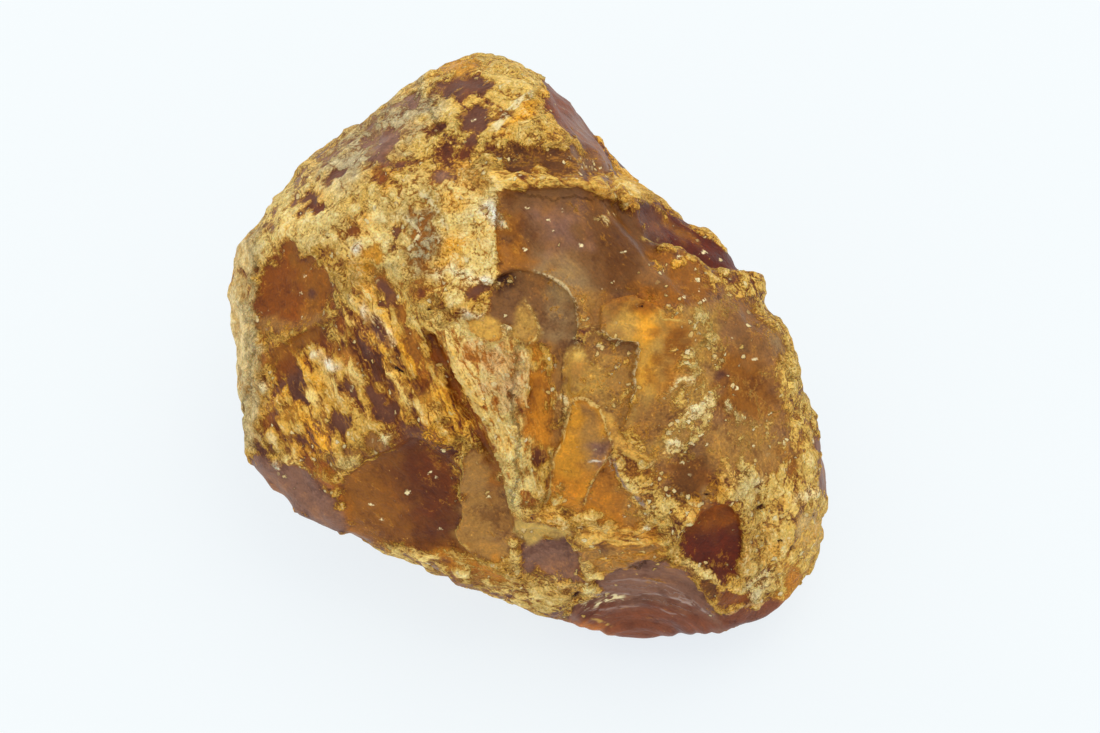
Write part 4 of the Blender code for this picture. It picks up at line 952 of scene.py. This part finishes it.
def paint_hidden_side(skin):
    """Crust with bare patches all round, and the chips that the drawing doesn't show."""
    for name, shift in HIDDEN_TONES:
        share = smooth(noise_at(skin.points, HIDDEN_TONE_SIZE, shift) / HIDDEN_TONE_EDGE)
        skin.lay(HIDDEN_TONE_SHARE * share, name, HIDDEN_TONE_COVER)
    skin.cover = HIDDEN_COVER - layered_noise(skin.points, HIDDEN_WEAR)
    uneven = layered_noise(skin.points, SCAR_UNEVEN)
    change = smooth(0.5 + layered_noise(skin.points, SCAR_CHANGE_WHERE))
    hidden = skin.points - HEART
    for scar in SCARS:
        out = facing(scar.turn, scar.lean)
        middle = hidden[np.argmax(hidden @ out / np.linalg.norm(hidden, axis=1))]
        level = np.cross(out, (0.0, 0.0, 1.0))
        level /= np.linalg.norm(level)
        turn = math.radians(scar.strike)
        struck = middle + scar.radius * (
            math.cos(turn) * level + math.sin(turn) * np.cross(out, level))
        depth = scar.radius * (SCAR_SHARE + uneven) - np.linalg.norm(hidden - middle, axis=1)
        share = smooth(depth / SCAR_EDGE + 0.5)
        skin.lay(share, scar.tone, SCAR_COVER)
        second = "amber" if scar.tone in LIGHT_SCARS else "plum"
        skin.lay(SCAR_CHANGE * share * change, second, SCAR_CHANGE_COVER)
        wave = np.abs(np.sin(math.pi * np.linalg.norm(hidden - struck, axis=1) / SCAR_RIPPLE_LENGTH))
        skin.rise += SCAR_RIPPLE_RISE * (0.5 - wave) * share * (1.0 - skin.front)


def paint_front(skin):
    """The stretches of crust and bare amber that the drawing gives."""
    skin.lay(skin.front, "ochre", GROUND_COVER)
    skin.lay(skin.front, "burgundy", GROUND_GAP_COVER)
    skin.cover = skin.cover * (1.0 - skin.front) + GROUND_COVER * skin.front
    for field in FIELDS:
        skin.lay(skin.share_of_outline(field.outline, field.edge), field.tone, field.cover)
    for spots in SPOTS:
        for oval in spots.ovals:
            share = skin.share_of_oval(oval, spots.edge)
            skin.lay(share, spots.tone, spots.cover)
            skin.rise += SPOT_RISE * share * (spots.cover > 0.0)


def paint_flecks(skin):
    """Specks and pinholes, too small for the mesh, which the material draws from their depth."""
    for name, ovals in FLECKS.items():
        for oval in ovals:
            depth = depth_in_oval(skin.places, *oval)
            depth = np.where(skin.front > 0.5, depth, -REACH_LIMIT)
            skin.fleck_tone = np.where((depth > skin.fleck_depth)[:, None], tone(name), skin.fleck_tone)
            skin.fleck_depth = np.maximum(skin.fleck_depth, depth)
            if name != "cream":
                skin.rise -= FLECK_SINK * smooth(depth / FLECK_EDGE + 0.5)


def paint_strokes(skin):
    """Rims, veins and cracks, as the distance to the nearest one and how strong it is there."""
    places = skin.places + CRISP_WANDER * skin.wander
    for stroke in STROKES:
        side, from_end = along_line(places, stroke.points)
        nearer = (np.abs(side) < np.abs(skin.stroke_side)) & (skin.front > 0.0)
        fade = smooth(from_end / STROKE_END) * skin.front
        fade *= smooth((STROKE_REACH - np.abs(side)) / STROKE_FADE)
        skin.stroke_strength = np.where(nearer, stroke.strength * fade, skin.stroke_strength)
        skin.stroke_tone = np.where(nearer[:, None], tone(stroke.tone), skin.stroke_tone)
        skin.stroke_half = np.where(nearer, stroke.half, skin.stroke_half)
        skin.stroke_side = np.where(nearer, side, skin.stroke_side)


def scatter_grit(skin):
    """Where loose grains lie: thin on all crust, thicker in the drawn stretches, and in clusters."""
    on_crust = smooth((skin.cover - GRIT_CRUST_START) / GRIT_CRUST_EDGE)
    skin.grit = GRIT_ON_BARE + (GRIT_ON_CRUST - GRIT_ON_BARE) * on_crust
    drawn = np.zeros(len(skin.points))
    for grit in GRITS:
        drawn = np.maximum(drawn, grit.amount * skin.share_of_outline(grit.outline, grit.edge))
    cluster = smooth(0.5 + layered_noise(skin.points, GRIT_CLUSTERS))
    drawn *= GRIT_BETWEEN_DRAWN + GRIT_CLUSTER_GAIN * cluster
    skin.grit = np.maximum(skin.grit * (GRIT_BETWEEN + (1.0 - GRIT_BETWEEN) * cluster), drawn)
    thicker = np.minimum(skin.cover + GRIT_IN_COVER * drawn, GRIT_COVER_LIMIT)
    skin.cover = np.maximum(skin.cover, thicker)
    paling = GRIT_PALING * np.minimum(drawn, 1.0)
    skin.crust_tone += (tone("butter") - skin.crust_tone) * paling[:, None]


def draw_out(skin, share, place):
    """Gives the surface that grain where it is the strongest so far."""
    stronger = share > skin.grain
    skin.grain_place = np.where(stronger[:, None], place, skin.grain_place)
    skin.grain = np.maximum(skin.grain, share)


def paint_grain(skin):
    """Which way the surface is drawn out, as coordinates that are squeezed along the grain."""
    for grain in GRAINS:
        share = grain.strength * skin.share_of_outline(grain.outline, grain.edge)
        turn = math.radians(grain.turn)
        along = skin.places @ (math.cos(turn), math.sin(turn))
        aside = skin.places @ (-math.sin(turn), math.cos(turn))
        aside = aside + GRAIN_WANDER * skin.wander[:, 0]
        layer = np.full(len(along), grain.turn)
        draw_out(skin, share, np.stack((aside, along / GRAIN_STRETCH, layer), axis=1))
    reach = skin.places - RIPPLE_CENTRE
    away = np.linalg.norm(reach, axis=1)
    ripple = next(field for field in FIELDS if field.name == "rippled face")
    share = skin.share_of_outline(ripple.outline, RIPPLE_EDGE)
    arc = np.arctan2(reach[:, 0], reach[:, 1]) * away / GRAIN_STRETCH
    draw_out(skin, share, np.stack((away, arc, np.zeros(len(away))), axis=1))
    wave = np.abs(np.sin(math.pi * away / RIPPLE_LENGTH))
    skin.rise += RIPPLE_RISE * (wave - RIPPLE_LEVEL) * share


def raise_ledges(skin):
    """Turns the solid's soft steps into crisp ones."""
    places = skin.places + CRISP_WANDER * skin.wander
    for ledge in LEDGES:
        side, from_end = along_line(places, ledge.points)
        fade = np.clip(1.0 - np.abs(side) / ledge.reach, 0.0, 1.0) * smooth(from_end / LEDGE_END)
        crisp = smooth(side / LEDGE_CRISP + 0.5) - smooth(side / LEDGE_SOFT + 0.5)
        skin.rise += ledge.rise * crisp * fade * skin.front


def raise_crust(skin):
    """The crust's lumps and strands, which also thicken and thin it, and its broken edges."""
    lumps = layered_noise(skin.points, LUMPS) + layered_noise(skin.points, CHIPS, chips_at)
    strands = layered_noise(skin.grain_place, STRAND_RIDGES, ridges_at)
    strands += layered_noise(skin.grain_place, STRAND_LUMPS)
    lumps = lumps + (strands - STRANDS_OVER_LUMPS * lumps) * skin.grain
    skin.lumps = np.clip(lumps, -LUMPS_LIMIT, LUMPS_LIMIT)
    skin.cover = skin.cover + LUMPS_IN_COVER * skin.lumps
    crust = smooth(skin.cover / CRUST_EDGE + 0.5)
    skin.rise += crust * (CRUST_LEVEL + CRUST_RISE * skin.lumps)
    bare = layered_noise(skin.points, BARE_WAVES)
    bare += layered_noise(skin.grain_place, BARE_STREAKS)
    skin.rise += (1.0 - crust) * (bare + BARE_LUMPS * skin.lumps + BARE_LEVEL)


def neighbour_mean(values, edges, counts):
    """The mean of each point's neighbours along the mesh's edges."""
    total = np.zeros_like(values)
    for here, there in ((edges[:, 0], edges[:, 1]), (edges[:, 1], edges[:, 0])):
        for axis in range(values.shape[1]):
            total[:, axis] += np.bincount(here, values[there, axis], len(values))
    return total / counts[:, None]


def read_points(mesh):
    """The mesh's points, in millimetres."""
    points = np.empty(len(mesh.vertices) * 3, np.float32)
    mesh.vertices.foreach_get("co", points)
    return points.reshape(-1, 3).astype(float) / MM


def write_points(mesh, points):
    """Moves the mesh's points, given in millimetres."""
    mesh.vertices.foreach_set("co", (points * MM).astype(np.float32).ravel())
    mesh.update()


def fine_copy(node, name):
    """A new object with an even, fine mesh of a CAD node's surface."""
    piece = bpy.data.objects.new(name, node.data.copy())
    bpy.context.scene.collection.objects.link(piece)
    work = bmesh.new()
    work.from_mesh(piece.data)
    bmesh.ops.remove_doubles(work, verts=work.verts, dist=0.01 * MM)
    work.to_mesh(piece.data)
    work.free()
    remesh = piece.modifiers.new("even", "REMESH")
    remesh.mode = "VOXEL"
    remesh.voxel_size = SQUARE * MM
    shown = piece.evaluated_get(bpy.context.evaluated_depsgraph_get())
    mesh = bpy.data.meshes.new_from_object(shown)
    piece.modifiers.clear()
    piece.data = mesh
    return piece


def round_off(mesh):
    """Smooths the solid's triangles away without shrinking the stone or lifting its flat spot."""
    edges = np.empty(len(mesh.edges) * 2, np.int32)
    mesh.edges.foreach_get("vertices", edges)
    edges = edges.reshape(-1, 2)
    points = read_points(mesh)
    resting = points[:, 2] < 0.5 * SQUARE
    counts = np.bincount(edges.ravel(), minlength=len(points))
    for share in (ROUNDING_IN, ROUNDING_OUT) * ROUNDING_ROUNDS:
        points += share * (neighbour_mean(points, edges, counts) - points)
        points[resting, 2] = 0.0
    write_points(mesh, points)
    return edges, counts


def store(mesh, name, values):
    """Keeps a number, a vector or a colour for each point of the mesh."""
    if values.ndim == 1:
        mesh.attributes.new(name, "FLOAT", "POINT").data.foreach_set("value", values.astype(np.float32))
    elif name.endswith("tone"):
        colours = np.column_stack((values, np.ones(len(values)))).astype(np.float32)
        mesh.attributes.new(name, "FLOAT_COLOR", "POINT").data.foreach_set("color", colours.ravel())
    else:
        data = mesh.attributes.new(name, "FLOAT_VECTOR", "POINT").data
        data.foreach_set("vector", values.astype(np.float32).ravel())


def build_nugget(node):
    """The nugget with its relief, and what its material reads."""
    piece = fine_copy(node, "weathered_nugget")
    mesh = piece.data
    edges, counts = round_off(mesh)
    points = read_points(mesh)
    skin = Skin(points)
    paint_hidden_side(skin)
    paint_front(skin)
    scatter_grit(skin)
    paint_flecks(skin)
    paint_strokes(skin)
    paint_grain(skin)
    raise_ledges(skin)
    raise_crust(skin)
    normals = np.empty(len(points) * 3, np.float32)
    mesh.vertex_normals.foreach_get("vector", normals)
    above_ground = smooth(points[:, 2] / GROUND_FADE)
    points += normals.reshape(-1, 3) * (skin.rise * above_ground)[:, None]
    points[:, 2] = np.maximum(points[:, 2], 0.0)
    write_points(mesh, points)
    # How much lower each point lies than its neighbours, stored so that the material can paint shade into
    # the hollows.
    soft = skin.rise[:, None]
    for _ in range(HOLLOW_SHADE_ROUNDS):
        soft = neighbour_mean(soft, edges, counts)
    store(mesh, "hollow", np.clip((soft[:, 0] - skin.rise) * HOLLOW_SHADE_GAIN, -1.0, 1.0))
    skin.cover = np.clip(skin.cover, -COVER_LIMIT, COVER_LIMIT)
    for name in STORED:
        store(mesh, name, getattr(skin, name))
    mesh.shade_smooth()
    return piece


class Shading:
    """Adds nodes to a material. Each method gives back the output of the node that it adds."""

    def __init__(self, name):
        self.material = bpy.data.materials.new(name)
        self.material.use_nodes = True
        self.tree = self.material.node_tree
        self.shader = self.tree.nodes["Principled BSDF"]

    def node(self, kind, inputs, output=0, **settings):
        node = self.tree.nodes.new(kind)
        for key, value in settings.items():
            setattr(node, key, value)
        for key, value in inputs.items():
            self.join(value, node.inputs[key])
        return node.outputs[output]

    def join(self, value, socket):
        """Feeds a socket with another socket or with a plain value."""
        if isinstance(value, bpy.types.NodeSocket):
            self.tree.links.new(value, socket)
        else:
            socket.default_value = value

    def shade(self, inputs):
        """Feeds the shader's inputs, by their names."""
        for name, value in inputs.items():
            self.join(value, self.shader.inputs[name])

    def math(self, operation, *values):
        return self.node("ShaderNodeMath", dict(enumerate(values)), operation=operation)

    def add(self, *values):
        total = values[0]
        for value in values[1:]:
            total = self.math("ADD", total, value)
        return total

    def times(self, *values):
        product = values[0]
        for value in values[1:]:
            product = self.math("MULTIPLY", product, value)
        return product

    def weigh(self, *pairs):
        """The sum of values, each given with its weight."""
        return self.add(*(self.times(value, weight) for value, weight in pairs))

    def size_of(self, value):
        return self.math("ABSOLUTE", value)

    def step(self, value, low, high, to_low=0.0, to_high=1.0):
        """A soft step from to_low at low to to_high at high."""
        inputs = {"Value": value, "From Min": low, "From Max": high, "To Min": to_low, "To Max": to_high}
        return self.node("ShaderNodeMapRange", inputs, interpolation_type="SMOOTHSTEP")

    def mix(self, share, first, second):
        return self.node("ShaderNodeMix", {0: share, 6: first, 7: second}, output=2, data_type="RGBA")

    def blend(self, share, first, second):
        """The same for plain numbers."""
        return self.node("ShaderNodeMix", {0: share, 2: first, 3: second})

    def scale(self, colour, factor):
        return self.node("ShaderNodeVectorMath", {0: colour, "Scale": factor}, operation="SCALE")

    def tinted(self, colour, tint):
        return self.node("ShaderNodeVectorMath", {0: colour, 1: tint}, operation="MULTIPLY")

    def noise(self, place, size, detail):
        """Noise from about -1 to 1, whose lumps are about this many millimetres."""
        inputs = {"Vector": place, "Scale": 1.0 / size, "Detail": detail}
        share = self.node("ShaderNodeTexNoise", inputs)
        return self.math("MULTIPLY_ADD", share, NOISE_SPREAD, -0.5 * NOISE_SPREAD)

    def crumpled(self, place, size, amount):
        """The place, pushed about by noise."""
        inputs = {"Vector": place, "Scale": 1.0 / size, "Detail": 2.0}
        push = self.node("ShaderNodeTexNoise", inputs, output=1)
        return self.node("ShaderNodeVectorMath", {0: place, 1: self.scale(push, 2.0 * amount)},
                         operation="ADD")

    def cells(self, place, size, **settings):
        """Distances in a pattern of cells of about this many millimetres."""
        inputs = {"Vector": place, "Scale": 1.0 / size}
        return self.node("ShaderNodeTexVoronoi", inputs, **settings)

    def dice(self, cell):
        """Three numbers from 0 to 1 that are thrown for each cell."""
        parts = self.node("ShaderNodeSeparateColor", {"Color": cell.node.outputs["Color"]})
        return list(parts.node.outputs)

    def number(self, name):
        return self.node("ShaderNodeAttribute", {}, output=2, attribute_name=name)

    def colour(self, name):
        return self.node("ShaderNodeAttribute", {}, output=0, attribute_name=name)

    def vector(self, name):
        return self.node("ShaderNodeAttribute", {}, output=1, attribute_name=name)

    def place(self):
        """The place on the stone, in millimetres."""
        place = self.node("ShaderNodeTexCoord", {}, output=3)
        return self.scale(place, 1.0 / MM)


def plain(name):
    """A named colour for a node's colour input."""
    return (*tone(name), 1.0)


def lay_textures(look):
    """The textures that wear the surface, drawn out along the grain where there is one."""
    place = look.place()
    grain = look.number("grain")
    crumpled = look.crumpled(place, *CRUMPLE)
    along = look.crumpled(look.vector("grain_place"), *CRUMPLE_ALONG)

    def either(sizes, detail):
        off, on = look.noise(crumpled, sizes[0], detail), look.noise(along, sizes[1], detail)
        return look.blend(grain, off, on)

    wear = SimpleNamespace(crumpled=crumpled)
    wear.fine = look.noise(place, FINE_SIZE, 2.0)
    wear.patchy = look.noise(crumpled, PATCH_SIZE, 3.0)
    wear.cloud = look.noise(place, CLOUD_SIZE, 3.0)
    wear.speckled = either(SPECKLE_SIZES, 3.0)
    wear.hairs = look.blend(grain, look.times(wear.fine, 0.6), look.noise(along, FINE_SIZE, 2.0))
    threads = either(THREAD_SIZES, 2.0)
    wear.light_thread = look.step(look.size_of(threads), 0.20, 0.02)
    wear.dark_thread = look.step(look.size_of(look.add(threads, wear.patchy, -0.35)), 0.16, 0.02)

    flaky = look.node("ShaderNodeMix", {0: grain, 4: crumpled, 5: along}, output=1, data_type="VECTOR")
    dice = look.dice(look.cells(flaky, FLAKE_SIZE))
    border = look.cells(flaky, FLAKE_SIZE, feature="DISTANCE_TO_EDGE")
    wear.seam = look.times(look.step(border, 0.10, 0.02), look.step(dice[1], 0.2, 0.6))
    wear.flake_level = look.add(dice[0], -0.5)
    wear.flake_shade = look.math("MULTIPLY_ADD", dice[2], 0.26, 0.95)

    wear.texture = look.weigh((wear.speckled, 0.40), (wear.hairs, 0.46), (wear.patchy, 0.20))
    wear.threaded = look.add(look.weigh(
        (wear.light_thread, 0.45), (wear.dark_thread, -0.40),
        (wear.seam, -0.70), (wear.flake_level, 0.6)), 0.06)
    return wear


def colour_bare_amber(look, wear, cover, bare_tone):
    """Bare amber's colour, lit and deep by turns, with crumbs of crust, and what makes it cloudy."""
    body = look.weigh((wear.patchy, 0.45), (wear.cloud, 0.50), (wear.speckled, 0.28), (wear.hairs, 0.24))
    deep, lit = look.tinted(bare_tone, DEEP_AMBER), look.tinted(bare_tone, LIT_AMBER)
    colour = look.mix(look.step(body, 0.0, -1.0, 0.0, 0.85), bare_tone, deep)
    colour = look.mix(look.step(body, 0.0, 1.0, 0.0, 0.85), colour, lit)
    crumbs = look.weigh((wear.fine, 0.9), (wear.speckled, 0.5), (cover, 0.55))
    return look.mix(look.step(crumbs, 0.88, 1.2, 0.0, 0.65), colour, plain("straw")), body


def lay_crust(look, wear, colour, thick):
    """Lays the crust over bare amber: orange where it is thin, then its tone, then cream. Where it is
    thinned in hollows, that is painted shade.
    """
    crust_tone = look.colour("crust_tone")
    orange, pale = look.tinted(crust_tone, ORANGE_CRUST), look.tinted(crust_tone, PALE_CRUST)
    bright = look.mix(0.5, look.tinted(crust_tone, LIT_CRUST), plain("cream"))
    thin = look.mix(0.5, colour, orange)
    crust_tone = look.mix(look.step(wear.cloud, 0.1, 1.2, 0.0, 0.75), crust_tone, orange)
    crust_tone = look.mix(look.step(wear.cloud, -0.2, -1.2, 0.0, 0.6), crust_tone, pale)
    crust_tone = look.scale(crust_tone, wear.flake_shade)
    colour = look.mix(look.step(thick, -0.65, 0.0), colour, thin)
    colour = look.mix(look.step(thick, -0.10, 0.65), colour, crust_tone)
    return look.mix(look.step(thick, 0.65, 1.90, 0.0, 0.95), colour, bright)


def strew_grit(look, wear, colour, thick, bare_tone):
    """Loose grains, each ringed by painted shade where the crust is thin, and how high they are."""
    cell = look.cells(wear.crumpled, GRAIN_SIZE)
    dice = look.dice(cell)
    kept = look.step(look.math("SUBTRACT", look.number("grit"), dice[0]), -0.02, 0.06)
    size = look.math("MULTIPLY_ADD", dice[1], 0.26, 0.16)
    beyond = look.add(cell, look.times(size, -1.0), look.times(wear.fine, 0.06))
    grit = look.times(kept, look.step(beyond, 0.06, -0.08))
    # A ring of painted shade round each grain, in darker amber, where the crust is thin.
    gap = look.times(kept, look.step(beyond, 0.30, 0.04, 0.0, 0.5))
    gap = look.times(gap, look.step(thick, 0.5, -0.2))
    colour = look.mix(gap, colour, look.tinted(bare_tone, SHADED_AMBER))
    grit_tone = look.mix(dice[2], plain("straw"), plain("cream"))
    return look.mix(look.times(grit, 0.9), colour, grit_tone), grit


def draw_lines(look, wear, colour):
    """The drawn strokes and flecks, with ragged edges, and how strong the strokes are."""
    aside = look.size_of(look.add(look.number("stroke_side"), look.times(wear.speckled, 0.10)))
    within = look.step(look.math("SUBTRACT", aside, look.number("stroke_half")), 0.14, -0.10)
    stroke = look.times(within, look.number("stroke_strength"), look.step(wear.texture, -0.35, 0.15))
    colour = look.mix(stroke, colour, look.colour("stroke_tone"))
    fleck_depth = look.add(look.number("fleck_depth"), look.times(wear.fine, 0.10))
    colour = look.mix(look.step(fleck_depth, -0.06, 0.12), colour, look.colour("fleck_tone"))
    return colour, stroke


def amber_look():
    """Weathered amber: textures wear the stored cover away, from cream crust to bare amber, and hollows
    get thinner crust as painted shade.
    """
    look = Shading("weathered_amber_look")
    wear = lay_textures(look)
    cover = look.number("cover")
    bare_tone = look.colour("bare_tone")
    busy = look.step(cover, -1.4, -0.3, 0.42, 1.0)
    # Painted shade: the stored hollow thins the crust in hollows, so they turn darker and browner.
    thick = look.add(
        cover, look.times(busy, look.add(wear.texture, wear.threaded)),
        look.times(look.number("lumps"), 0.20), look.times(look.number("hollow"), -0.30))
    crust = look.step(thick, -0.25, 0.25)

    colour, body = colour_bare_amber(look, wear, cover, bare_tone)
    colour = lay_crust(look, wear, colour, thick)
    shade = look.times(
        look.weigh((wear.fine, 0.7), (wear.speckled, 0.45)), look.step(cover, -1.0, -0.3, 0.14, 0.30))
    colour = look.scale(colour, look.add(shade, 1.0))
    colour, grit = strew_grit(look, wear, colour, thick, bare_tone)
    colour, stroke = draw_lines(look, wear, colour)

    crust_height = look.weigh((wear.texture, 0.34), (wear.threaded, 0.16))
    bare_height = look.add(look.weigh((wear.hairs, 0.03), (wear.speckled, 0.03)), -0.15)
    height = look.add(
        look.blend(crust, bare_height, crust_height), look.times(stroke, 0.10), look.times(grit, 0.22))
    look.shade(AMBER_SHINE)
    look.shade({
        "Base Color": colour,
        "Roughness": look.blend(crust, look.step(body, -0.9, 0.9, 0.34, 0.52), 0.72),
        "Normal": look.node("ShaderNodeBump", {"Height": height, "Distance": BUMP * MM, "Strength": 1.0}),
    })
    return look.material


def pale_floor():
    """The plain pale surface that the stone lies on."""
    bpy.ops.mesh.primitive_plane_add(size=FLOOR_SIZE, location=(0.0, 0.0, FLOOR_HEIGHT))
    floor = bpy.context.object
    floor.name = "floor"
    look = Shading("pale_floor")
    look.shade(FLOOR_LOOK)
    floor.data.materials.append(look.material)


def add_soft_light(name, place, size, power):
    """A square soft light, aimed at the stone."""
    light = bpy.data.lights.new(name, "AREA")
    light.size = size
    light.energy = power
    lamp = bpy.data.objects.new(name, light)
    bpy.context.scene.collection.objects.link(lamp)
    lamp.location = place
    aim = Vector(HEART * MM)
    lamp.rotation_euler = (Vector(place) - aim).to_track_quat("Z", "Y").to_euler()


def light_scene():
    """A white tent of light, with the soft lights in it."""
    world = bpy.data.worlds.new("pale_tent")
    bpy.context.scene.world = world
    world.use_nodes = True
    background = world.node_tree.nodes["Background"]
    background.inputs["Color"].default_value = TENT_COLOUR
    background.inputs["Strength"].default_value = TENT_STRENGTH
    for soft_light in SOFT_LIGHTS:
        add_soft_light(*soft_light)
    bpy.context.scene.view_settings.view_transform = "Standard"


def add_camera():
    """The camera, where the photograph was taken from."""
    across, up, out = drawing_axes()
    aim = HEART + PICTURE_MIDDLE[0] * across + PICTURE_MIDDLE[1] * up
    data = bpy.data.cameras.new("camera")
    camera = bpy.data.objects.new("camera", data)
    bpy.context.scene.collection.objects.link(camera)
    camera.location = (aim + EYE_DISTANCE * out) * MM
    camera.rotation_euler = Vector(out).to_track_quat("Z", "Y").to_euler()
    data.sensor_width = SENSOR
    data.lens = SENSOR * EYE_DISTANCE / PICTURE_WIDTH
    data.clip_start = 0.01
    bpy.context.scene.camera = camera


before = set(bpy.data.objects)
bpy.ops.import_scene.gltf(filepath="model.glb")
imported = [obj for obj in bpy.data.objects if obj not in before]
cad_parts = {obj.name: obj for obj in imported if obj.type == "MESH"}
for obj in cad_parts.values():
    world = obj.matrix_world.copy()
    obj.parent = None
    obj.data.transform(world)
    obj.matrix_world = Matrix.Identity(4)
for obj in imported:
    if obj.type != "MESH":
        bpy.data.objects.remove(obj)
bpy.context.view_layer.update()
add_camera()
light_scene()
pale_floor()
nugget = build_nugget(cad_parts["amber_nugget"])
nugget.data.materials.clear()
nugget.data.materials.append(amber_look())
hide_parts("amber_nugget")
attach(nugget, "root")
